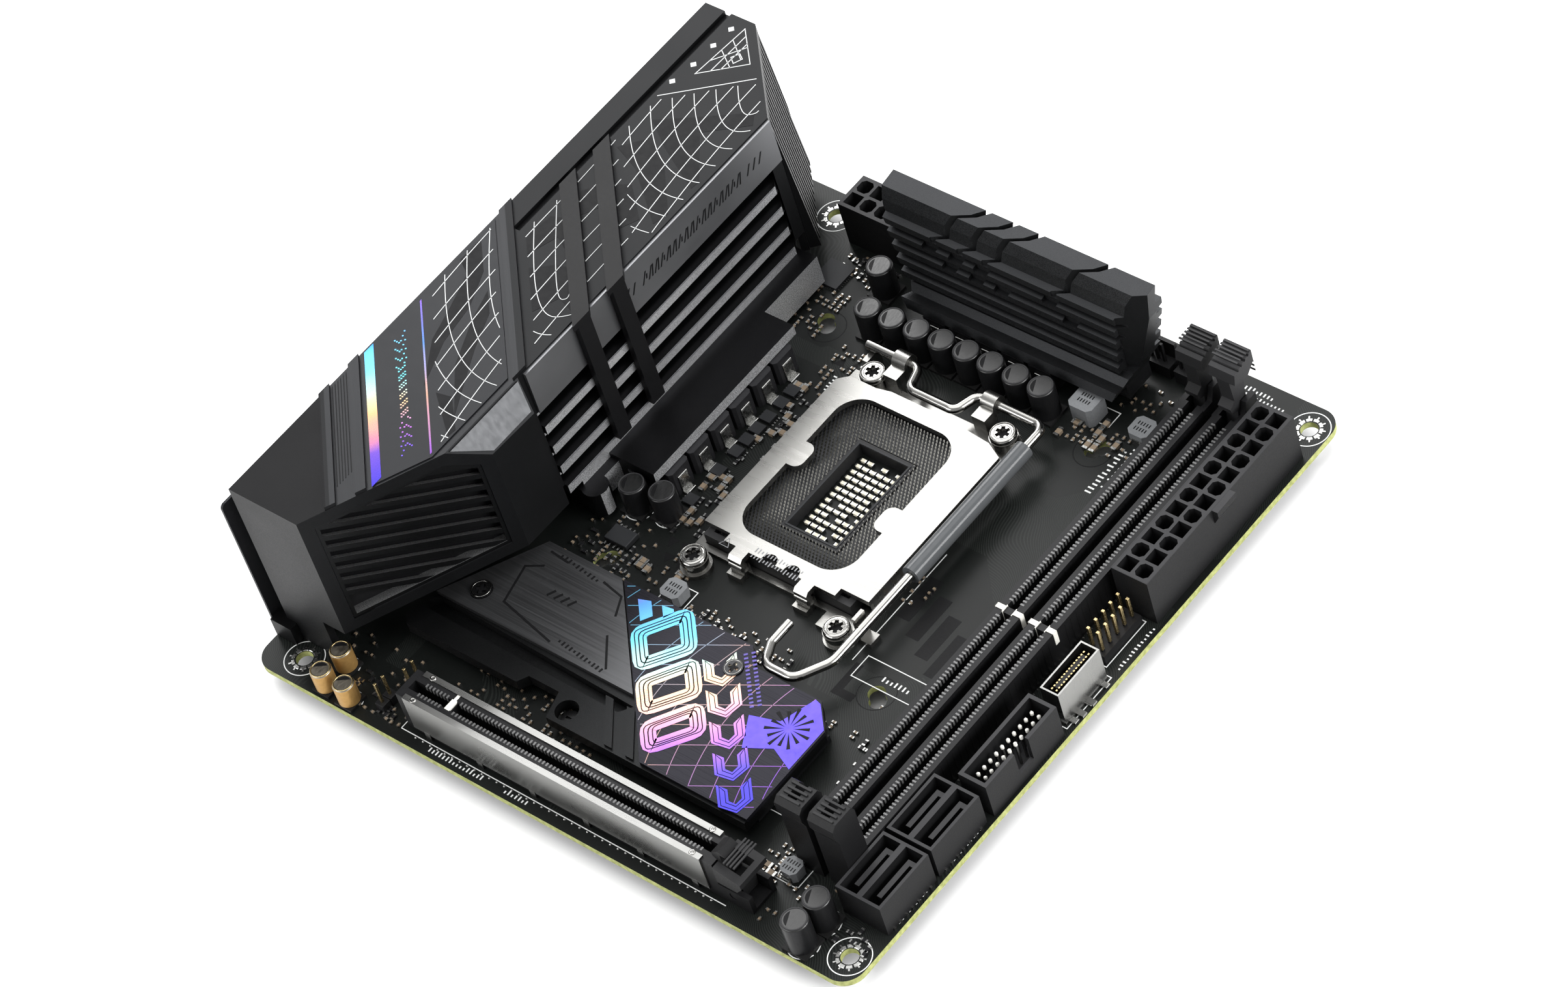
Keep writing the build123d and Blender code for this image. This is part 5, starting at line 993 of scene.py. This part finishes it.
# bare posts in their bars, near the audio capacitors
posts = [(38.5, 11.5), (38.5, 14.0), (35.6, 5.2), (35.6, 7.7)]
for part, dx, dy, top, material, edge in (("bars", PITCH / 2, 1.2, 4.0, slot_plastic, 0.15),
                                          ("pins", 0.32, 0.32, 10.0, gold, 0.1)):
    piece("audio_header_" + part, spans([(x - dx, x + dx, y - dy, y + dy, TOP, top) for x, y in posts]), material,
          bevel=edge)

# ---------------------------------------------------------------- power stages and chokes
piece("choke_tabs", spans([(x0, x1, y - 1.5, y + 1.5, z0, z1) for y in 85 + 7.25 * np.arange(6)
                           for x0, x1, z0, z1 in ((54.62, 54.95, 2.0, 6.6), (54.62, 56.1, 1.6, 2.05),
                                                  (53.4, 54.95, 6.5, 6.85))]), solder, bevel=0.25)
piece("side_choke_tabs", spans([(x - 1.4, x + 1.4, y0, 145.5, 1.6, z1) for x in 77.5 + 7.4 * np.arange(5)
                                for y0, z1 in ((145.1, 6.4), (144.4, 2.0))]), solder, bevel=0.2)
leads = [(x, y + d, TOP + 0.14) for y in (82.6, 92.0, 98.1, 101.9, 105.5, 109.3, 113.9, 117.8)
         for x in (55.95, 60.05) for d in (-1.1, -0.37, 0.37, 1.1)]
piece("driver_leads", boxes(leads, (0.55, 0.34, 0.24)), solder)


def pad_frame(x, y, half, n, pad=0.28):
    """Small pads along the four sides of a square chip."""
    t = np.linspace(-half + 0.6, half - 0.6, n)
    z = np.full(n, TOP + 0.1)
    e = half + 0.15
    sides = [np.stack([x + t, np.full(n, y + s * e), z], -1) for s in (-1, 1)]
    ends = [np.stack([np.full(n, x + s * e), y + t, z], -1) for s in (-1, 1)]
    return [boxes(np.vstack(sides), (pad * 0.6, pad * 1.5, 0.2)), boxes(np.vstack(ends), (pad * 1.5, pad * 0.6, 0.2))]


piece("chip_leads", pad_frame(44.2, 149.3, 3.5, 11) + pad_frame(30.6, 61.0, 2.5, 8), solder)
# a small ten-leg chip beside the drive heatsink, each leg a short block on the mask
legs = [(48.6 + PITCH / 2 * k, y, TOP + 0.25) for k in range(5) for y in (64.1, 69.5)]
piece("small_chip", spans([(48, 54.4, 64.6, 69.0, TOP + 0.1, TOP + 1.5)]), chip_black, bevel=0.2)
piece("small_chip_legs", boxes(legs, (0.42, 0.9, 0.4)), solder)
# coded marks on the moulded inductors and on the light capacitor tops
ind = [(120.6, 144.6, 6.8), (135, 145.2, 4.8), (141.9, 16.6, 4.4), (72.4, 60.4, 4.6)]
piece("inductor_codes", [boxes([(x - 1.4 + 0.7 * k, y + s, z + 0.012) for k in range(5) for s in (-0.8, 0.8)],
                               (0.28, 0.95, 0.024)) for x, y, z in ind], dark_ink_and_shade)
piece("inductor_ends", [spans([(x - 1.3, x + 1.3, y + s * r - 0.15, y + s * r + 0.15, TOP, TOP + 1.8)])
                        for x, y, r in ((120.6, 144.6, 3.3), (135, 145.2, 2.8), (141.9, 16.6, 2.3), (72.4, 60.4, 2.7))
                        for s in (-1, 1)], solder)
CANS = [(63.6, 140.2), (70.5, 140.3), (77.4, 140.5), (84.3, 140.6), (91.2, 140.7), (98.1, 140.6), (105.2, 140.5),
        (112.2, 140.4), (58.1, 151.1), (155.4, 10.2), (155.0, 3.7)]
LOW_CANS = [(48.9, 75.6), (56.3, 77.2)]
GOLD_CANS = [(20.5, 9.4), (20.4, 3.1), (27.5, 2.8)]
CAN_TOP, LOW_CAN_TOP, GOLD_CAN_TOP = 10.6, 10.0, 8
rolled = [(x, y, CAN_TOP, 2.75) for x, y in CANS] + [(x, y, LOW_CAN_TOP, 2.75) for x, y in LOW_CANS]
piece("can_rims", [hoop(bead(0.22, 0.12, -0.04, 0.1), x, y, z, r, 28) for x, y, z, r in rolled], grey_plastic_and_edge_highlight,
      smooth=True)
piece("can_marks", [plate(ring_path(x, y, 0, 2.2, 14, 150, 260)[:, :2], z, z + 0.03) for x, y, z, r in rolled],
      dark_ink_and_shade)
piece("gold_can_rims", [hoop(bead(0.2, 0.1, -0.04, 0.1), x, y, GOLD_CAN_TOP, 2.15, 28) for x, y in GOLD_CANS], gold,
      smooth=True)
piece("gold_can_marks", [plate(ring_path(x, y, 0, 1.75, 14, 60, 190)[:, :2], GOLD_CAN_TOP, GOLD_CAN_TOP + INK)
                         for x, y in GOLD_CANS], dark_ink_and_shade)

# ---------------------------------------------------------------- cover artwork
X0 = 3.5


def across(x, yr):
    """A point on the 45-degree layout of the cover top: yr is the row's height at the rear edge."""
    return (x, yr - (x - X0))


def inside(p, poly):
    """Even-odd test of points against a polygon."""
    p, q = np.asarray(p, float), np.asarray(poly, float)
    r = np.roll(q, -1, 0)
    x, y = p[:, :1], p[:, 1:]
    hit = ((q[:, 1] > y) != (r[:, 1] > y)) & (x < (r[:, 0] - q[:, 0]) * (y - q[:, 1]) / (r[:, 1] - q[:, 1] + 1e-12)
                                              + q[:, 0])
    return hit.sum(1) % 2 == 1


def runs(points, keep):
    """Splits a line into the stretches that are kept."""
    out, now = [], []
    for p, k in zip(points, keep):
        if k:
            now.append(tuple(p))
        else:
            out.append(now)
            now = []
    return [line for line in out + [now] if len(line) > 2]


def nested_grid(zone, centre, rings, deeper, rows, power=3.0, turn=math.radians(40)):
    """Two crossing families clipped to a zone: rounded rings |u|^p + |v|^p = 1 whose half-width is r and half-depth
    r + deeper, nested about a centre, and near-straight rows along Y that bow with the square of distance."""
    out = []
    c, s = math.cos(turn), math.sin(turn)
    a = np.linspace(math.radians(90), math.radians(300), 200)
    k = (np.abs(np.cos(a)) ** power + np.abs(np.sin(a)) ** power) ** (-1 / power)
    for r in rings:
        u, v = r * k * np.cos(a), (r + deeper) * k * np.sin(a)
        p = np.stack([centre[0] + u * c - v * s, centre[1] + u * s + v * c], -1)
        out += runs(p, inside(p, zone))
    t = np.linspace(-70, 70, 200)
    for x in rows:
        p = np.stack([x + 0.0016 * t ** 2 * np.sign(-t), centre[1] + t], -1)
        out += runs(p, inside(p, zone))
    return out


LABEL_Z, SHELL_Z = 50.8, COVER_TOP
zone_a = [(4.6, 74.6), (38.0, 41.2), (37.4, 62.6), (31.0, 69.0), (4.6, 95.4)]
shapes_a = [[(5.2, 84), (9.4, 81.6), (12.6, 72.2), (15.2, 63.6), (22.6, 52.6), (18.0, 64.4), (16.4, 74.6), (12.2, 84),
             (5.2, 91)],
            [(16.8, 80.2), (19.4, 72), (24.8, 60.4), (34.6, 49.2), (29.6, 58.4), (25.4, 66.4), (21.6, 75.4)],
            [(26.2, 52.6), (36.9, 44.6), (37.2, 46.8), (30.2, 53.4)]]
shapes_b = [[(13.6, 96.4), (17.4, 92.6), (20.2, 99.6), (27.0, 96.2), (21.6, 105.8), (14.6, 103.6)],
            [(20.4, 89.6), (29.6, 80.4), (32.4, 86.2), (37.4, 84.6), (31.2, 95.0), (25.2, 93.2)],
            [(13.8, 109.8), (19.8, 105.8), (24.2, 112.8), (30.6, 107.4), (33.2, 112.2), (24.8, 119.4), (18.6, 116.2)],
            [(14.4, 126.4), (22.4, 123.4), (36.8, 112.6), (37.9, 116.4), (27.0, 127.8), (19.6, 132.2)],
            [(16.2, 136.4), (24.4, 131.2), (37.6, 124.6), (37.9, 127.0), (28.4, 138.4), (37.8, 145.6), (35.6, 148.8),
             (24.6, 141.6)]]
piece("cover_art_shapes_low", [plate(s, LABEL_Z, LABEL_Z + 0.03) for s in shapes_a], camo_dark)
piece("cover_art_shapes_high", [plate(s, SHELL_Z, SHELL_Z + 0.04) for s in shapes_b], camo_dark)
FIELD = (18.0, 105.0)
marks("cover_art_grid_low", nested_grid(zone_a, FIELD, np.arange(12, 60, 4.9), 22, np.arange(-20, 60, 4.2)),
      grid_white, 0.17, 0.05, LABEL_Z + 0.03)
zone_c = [(12.4, 97.4), (37.9, 71.8), (38.0, 104.0), (12.6, 128.6)]
zone_d = [(12.6, 129.6), (38.2, 104.2), (38.4, 149.0), (30.6, 156.4), (12.8, 141.4)]
marks("cover_art_grid_high", nested_grid(zone_c, FIELD, np.arange(2.2, 60, 4.9), 22, np.arange(-20, 60, 4.2))
      + nested_grid(zone_d, (27, 158), np.arange(3, 60, 4.9), 10, np.arange(-20, 60, 4.2)),
      grid_white, 0.17, 0.05, SHELL_Z + 0.04)


def slanted(yr, x0, x1, w, z):
    """A flat bar on the 45-degree layout, w wide along the rear edge."""
    pts = [across(x0, yr - w / 2), across(x1, yr - w / 2), across(x1, yr + w / 2), across(x0, yr + w / 2)]
    return plate(pts, z, z + 0.05)


piece("cover_stripe", slanted(55.6, 4.2, 31.6, 3.0, LABEL_Z), stripe_foil)
piece("cover_thin_line", slanted(72.6, 5.2, 36.8, 0.55, LABEL_Z), line_foil)


def dot_rows():
    """Small square dots in chevrons and bars along the slanted row, in place of words."""
    out = []
    for x in np.arange(8.0, 31.6, 0.62):
        for k, d in enumerate(np.linspace(-1.6, 1.6, 6)):
            u = (x - 8.0) / 23.4
            if u < 0.28 or u > 0.74:
                on = int((x * 1.62 + (abs(d) if u < 0.5 else -abs(d)) * 1.5) % 3) == 0
            else:
                on = int(round((x - 8.0) / 0.62)) % 3 != 0 and k in (1, 2, 3, 4)
            if on:
                px, py = across(x, 65.4 + d)
                out.append((px, py, LABEL_Z + 0.02))
    return boxes(out, (0.36, 0.36, 0.04), math.radians(-45))


dots_foil = print_material("dots_foil", [(0.0, 0.10, 0.30, 0.55), (0.35, 0.10, 0.45, 0.50), (0.6, 0.55, 0.35, 0.18),
                                         (0.8, 0.30, 0.10, 0.40), (1.0, 0.10, 0.06, 0.45)],
                           math.radians(-45), 0.0331, -0.0401)
piece("cover_dots", dot_rows(), dots_foil)
# line art at the far end: a large three-sided outline crossed by shorter lines, and a row of plain symbols
a, b, c = (15.8, 151.8), (25.2, 159.8), (17.1, 167.7)
art = [[a, b, c, a], [(16.2, 156.4), (21.4, 163.6)], [(16.5, 160.2), (21.8, 156.8)], [(18.4, 154.0), (18.8, 166.0)],
       [(16.8, 163.8), (22.4, 159.9)], [(20.2, 155.4), (20.6, 164.4)], [(12.4, 142.6), (29.4, 157.0)],
       [(21.6, 158.2), (22.6, 160.2), (21.0, 161.2), (19.9, 159.4), (21.6, 158.2)]]
marks("cover_end_lines", art, grid_white, 0.2, 0.04, SHELL_Z)
piece("cover_end_symbols", [plate([(x - 0.9, y), (x, y - 0.9), (x + 0.9, y), (x, y + 0.9)], SHELL_Z, SHELL_Z + 0.05)
                            for x, y in ((12.6, 147.6), (13.6, 153.8), (13.9, 160.4), (14.3, 166.2))], grid_white)
# fine ridges between the first two ribs
piece("cover_ridges", [slanted(43.6 + 0.9 * k, 4.2, 24.5, 0.3, SHELL_Z) for k in range(6)], camo_dark)

# front band: leaning slashes and coded bars on the pale strip
BAND_X, BAND_Z = span("cover_band")[1][0], 43.9      # face and middle height of the band


def slash_at(y, h, w=0.5, lean=0.55):
    """A leaning bar standing a little proud of the band."""
    z0, z1 = BAND_Z - h / 2, BAND_Z + h / 2
    low, high = y - lean * h / 2, y + lean * h / 2
    p = [(low - w / 2, z0), (low + w / 2, z0), (high + w / 2, z1), (high - w / 2, z1)]
    v = [(BAND_X + d, a, b) for d in (0.0, INK) for a, b in p]
    return np.array(v), [[0, 3, 2, 1], [4, 5, 6, 7], [0, 1, 5, 4], [1, 2, 6, 5], [2, 3, 7, 6], [3, 0, 4, 7]]


slash = [slash_at(y, 2.6) for y in (96.0, 98.0, 100.0, 139.0, 141.0, 143.0)]
for k, y in enumerate(np.arange(103.4, 136.6, 2.0)):
    slash += [slash_at(y, 3.0, 0.45), slash_at(y + 0.8, 3.0 if k % 3 else 1.2, 0.45, 0.3)]
piece("band_marks", slash, dark_ink_and_shade)
# louvre: a dark panel close behind the slats, painted shade for the shaded inside of the cover
p, q = np.array([23.7, 10.3]), np.array([43.4, 49.1])
along = (q - p) / np.linalg.norm(q - p)
inner = np.array([-along[1], along[0]])
e0, e1 = p + along * 1.2 + inner * 2.6, q - along * 1.2 + inner * 2.6
back = [tuple(e0), tuple(e1), tuple(e1 + inner * 0.4), tuple(e0 + inner * 0.4)]
piece("louvre_shade_panel", plate(back, 14.5, 48.4), dark_ink_and_shade)

# ---------------------------------------------------------------- drive heatsink artwork
PLATE_TOP = 8.0                           # top face of the drive heatsink
ART_Z = PLATE_TOP + 0.04                  # top of the printed grid, where the coloured art starts
LINE_Z = PLATE_TOP + 0.09                 # top of the coloured art, where its dark lines start
bracket = [[(45.6, 49.4), (41.8, 47.2), (44.2, 37.4), (60.6, 34.0)], [(60.2, 52.4), (66.4, 51.2), (68.8, 46.4)],
           [(70.6, 41.6), (76.4, 34.4)], [(44.2, 53.2), (49.8, 52.6)]]
marks("plate_brackets", bracket, dark_ink_and_shade, 0.55, 0.03, PLATE_TOP)
code = []
# rows of first place, step, count, every which tick is short, and lean
for x, y, dx, dy, n, short, lean in ((47.4, 53.4, 1.25, 0.16, 10, 3, -0.15), (62.4, 35.2, 1.2, 0.14, 12, 4, -0.12)):
    code += [boxes([(x + dx * k, y - dy * k, PLATE_TOP + 0.02)], (0.5, 1.1 if k % short else 0.6, 0.04), lean)
             for k in range(n)]
code.append(boxes([(52.0 + 2.0 * k, 44.4, PLATE_TOP + 0.02) for k in range(4)], (0.6, 2.2, 0.04), -0.5))
piece("plate_codes_etched", code, dark_ink_and_shade)

PLATE = [(86.5, 32.2), (99, 19.2), (128.6, 19.2), (128.6, 45), (122.8, 51), (104.2, 51), (100.4, 55.2), (63.7, 55.2)]
centre = np.mean(PLATE, 0)
clip = [tuple(centre + (np.array(p) - centre) * 0.985) for p in PLATE]


def print_net(step=6.0):
    """Print grid: straight rows one way, and rows the other way bowed by a square of the distance."""
    t = np.linspace(0, 80, 200)
    out = []
    for k in np.arange(-60, 100, step):
        straight = np.stack([60 + t, 15 + k + 0.55 * t], -1)
        bowed = np.stack([60 + k + 0.004 * (t - 40) ** 2, 15 + t * 0.6], -1)
        for p in (straight, bowed):
            out += runs(p, inside(p, clip) & ~(np.hypot(p[:, 0] - 100.6, p[:, 1] - 48.4) < 3.0))
    return out


grid_foil = print_material("grid_foil", [(0.0, 0.10, 0.30, 0.45), (0.4, 0.35, 0.22, 0.20), (0.7, 0.20, 0.08, 0.35),
                                         (1.0, 0.10, 0.06, 0.5)], math.radians(-10), 0.075, 0.055, 0.35)
marks("print_grid", print_net(), grid_foil, 0.16, 0.03, PLATE_TOP)


def chevron(cx, cy, w, h, t, ang):
    """An outlined arrow: a bent band of width t, open at the back."""
    side, tip, neck = h / 2, w / 2, w / 2 - h * 0.35
    notch, back = neck - t * 0.4, -w / 2 + h * 0.25
    pts = [(-tip, side), (neck, side), (tip, 0), (neck, -side), (-tip, -side),
           (back, -side + t), (notch, -side + t), (tip - t, 0), (notch, side - t), (back, side - t)]
    return turned(pts, cx, cy, ang)


E0, EA, EB = np.array([63.7, 55.2]), np.array([0.7071, -0.7071]), np.array([0.7071, 0.7071])


def on_plate(s, w):
    """A point s along the plate's slanting edge and w in from it."""
    return tuple((E0 + EA * s + EB * w).tolist())


def soft_corners(pts, r, n=4):
    """Rounds a closed outline: each corner becomes a short curve between points r before and after it."""
    p = np.asarray(pts, float)
    out = []
    for a0, c0, b0 in zip(np.roll(p, 1, 0), p, np.roll(p, -1, 0)):
        u = c0 + (a0 - c0) / np.linalg.norm(a0 - c0) * r
        v = c0 + (b0 - c0) / np.linalg.norm(b0 - c0) * r
        t = np.linspace(0, 1, n)[:, None]
        out += ((1 - t) ** 2 * u + 2 * t * (1 - t) * c0 + t ** 2 * v).tolist()
    return out


def loop(pts, w, z, t=0.05, r=1.6):
    """A flat band that follows a rounded closed outline."""
    return sweep(flat(w, t), [(x, y, z) for x, y in soft_corners(pts, r)], True)


art_foil = print_material("art_foil", [(0.0, 0.22, 0.16, 0.66), (0.10, 0.10, 0.30, 0.72), (0.28, 0.16, 0.56, 0.76),
                                       (0.42, 0.50, 0.70, 0.62), (0.52, 0.84, 0.55, 0.36), (0.66, 0.66, 0.30, 0.45),
                                       (0.78, 0.34, 0.14, 0.60), (0.9, 0.10, 0.07, 0.62), (1.0, 0.06, 0.05, 0.55)],
                          math.radians(-45), 0.0636, 0.0044, 0.3, 0.3)
big = [[on_plate(s0 + 2.0, 1.9), on_plate(s1, 1.9), on_plate(s1 - 1.6, 12.6), on_plate(s0, 12.6)]
       for s0, s1 in ((13.6, 24.6), (27.4, 36.8), (39.6, 47.2))]
bars = [[on_plate(6.4, 2.6), on_plate(12.6, 2.6), on_plate(12.0, 5.4), on_plate(7.8, 5.4)],
        [on_plate(9.6, 7.6), on_plate(13.2, 7.6), on_plate(12.4, 10.0), on_plate(11.4, 10.0)]]
piece("plate_art_blocks", [loop(b, 3.5, ART_Z) for b in big] + [plate(b, ART_Z, LINE_Z) for b in bars],
      art_foil)
piece("plate_art_inlines", [loop(b, 0.26, LINE_Z, 0.03) for b in big]
      + [loop([tuple(np.mean(b, 0) + (np.array(p) - np.mean(b, 0)) * k) for p in b], 0.22, LINE_Z, 0.03, 1.2)
         for b in big for k in (0.82, 1.16)], dark_ink_and_shade)
arrows, lines = [], []
for s in (31, 39.5, 48, 56.5, 65):
    cx, cy = on_plate(s, 18.6)
    arrows.append(plate(chevron(cx, cy, 8.4, 7.4, 2.3, math.radians(-45)), ART_Z, LINE_Z))
    q = chevron(cx, cy, 7.2, 6.2, 1.1, math.radians(-45))
    lines.append([*q, q[0]])
piece("plate_art_chevrons", arrows, art_foil)
marks("plate_art_chevron_lines", lines, dark_ink_and_shade, 0.16, 0.03, LINE_Z)
# a plain many-sided field with a spray of rays
star = [(111.6, 40.4), (118.6, 42.4), (121.6, 50.6), (123.2, 50.2), (128.2, 45.2), (128.2, 33.6), (122.0, 36.2),
        (115.8, 33.0)]
violet_foil = grained("violet_foil", (0.10, 0.07, 0.58), spread=0.5, scale=500, rough=(0.25, 0.4), metal=0.3)
piece("plate_art_star", plate(star, ART_Z, LINE_Z), violet_foil)
rays = []
for k in range(14):
    a = 2 * math.pi * k / 14
    c, s = math.cos(a), math.sin(a)
    r0, r1 = 1.0, 4.6 if k % 2 else 5.4
    rays.append(plate([(121.4 + r0 * c, 41.8 + r0 * s), (121.4 + r1 * c - 0.42 * s, 41.8 + r1 * s + 0.42 * c),
                       (121.4 + r1 * c + 0.42 * s, 41.8 + r1 * s - 0.42 * c)], LINE_Z, PLATE_TOP + 0.12))
piece("plate_art_rays", rays, dark_ink_and_shade)
ticks = [on_plate(28 + 1.1 * k, 24.2 + j * 1.7) + (PLATE_TOP + 0.06,) for k in range(14) for j in (0, 1)]
piece("plate_art_codes", boxes(ticks, (0.5, 0.9, 0.04), math.radians(-45)), line_violet)


def crossed(x, y, z, r, depth=0.04):
    """A cross recess painted as shade: two crossed flat bars with pointed ends."""
    pts = [(-r, 0), (-r * 0.6, -r * 0.24), (r * 0.6, -r * 0.24), (r, 0), (r * 0.6, r * 0.24), (-r * 0.6, r * 0.24)]
    return [plate(turned(pts, x, y, a), z, z + depth + 0.01 * a) for a in (0.35, 0.35 + math.pi / 2)]


top_z = span("drive_heatsink_screws")[1][2]
# screws on the drive heatsink: x, y, top, cross radius and head radius
M2 = [(37.6, 37.4, top_z, 1.5, 2.5), (100.6, 48.4, top_z, 1.3, 2.2)]
piece("drive_screw_crosses", sum([crossed(x, y, z - 0.02, r) for x, y, z, r, h in M2], []), dark_ink_and_shade)
piece("drive_screw_rims", [hoop(bead(0.1, 0.04, -0.02, 0.08), x, y, z, h - 0.35, 32) for x, y, z, r, h in M2],
      wire_steel, smooth=True)

# ---------------------------------------------------------------- rear ports
stacks = [(31, 45.4, 3), (47.4, 61.8, 3), (105, 119.4, 2)]
for i, ((y0, y1, n), colour) in enumerate(zip(stacks, (port_red, port_blue, port_teal))):
    t = [spans([(-0.22, 11.4, y0 + 1.6, y1 - 1.6, 6.86 + 9.2 * k, 6.92 + 9.2 * k),
                (-0.26, -0.20, y0 + 1.6, y1 - 1.6, 6.9 + 9.2 * k, 8.74 + 9.2 * k)]) for k in range(n)]
    piece("usb_tongues_%d" % i, t, colour)
for z, m, n in ((7.8, jack_pink, "a"), (19.4, jack_green, "b"), (31.0, jack_blue, "c")):
    piece("jack_ring_" + n, upright_hoop(bead(0.8, 0.6, -0.05, 0.35), -0.62, 22.3, z, 2.9, 32), m, smooth=True)
piece("antenna_threads", [upright_hoop(bead(0.12, 0.0, -0.12, 0.2), -8.8 + 0.75 * k, y, 10.6, 3.05, 20)
                          for y in (142.0, 154.0) for k in range(9)], gold)
# Vent holes in the rear shield drawn as dark squares on its face: painted shade for the holes.
gy, gz = np.meshgrid(np.arange(32, 128, 3.2), np.arange(33.4, 41.4, 3.2))
dots = np.stack([np.full(gy.size, -1.21), gy.ravel() + 1.6 * ((gz.ravel() / 3.2).astype(int) % 2), gz.ravel()], -1)
piece("shield_vents", boxes(dots, (0.04, 1.9, 1.9)), dark_ink_and_shade)
line = [sweep(flat(0.24, INK), [(-1.2, y0, z0), (-1.2, y1, z1)], up=(-1, 0, 0))
        for y0, z0, y1, z1 in ((11, 41.6, 30, 41.6), (30, 41.6, 36, 32), (36, 32, 100, 32), (100, 32, 106, 41.6),
                               (130, 22, 165, 22), (11, 1, 15, 1))]
piece("shield_print_lines", line, grid_white)

# ---------------------------------------------------------------- heatsink: painted glints
# Thin pale strips on the rear heatsink's fins: painted glints where the fin edges catch the light.
glint = [(39.99, 40.05, 67.2, 144.0, z + 0.9, z + 1.12) for z in (32.2, 25.7, 19.2, 12.7)]
piece("rear_fin_glints", spans(glint), accent_grey_and_glint)
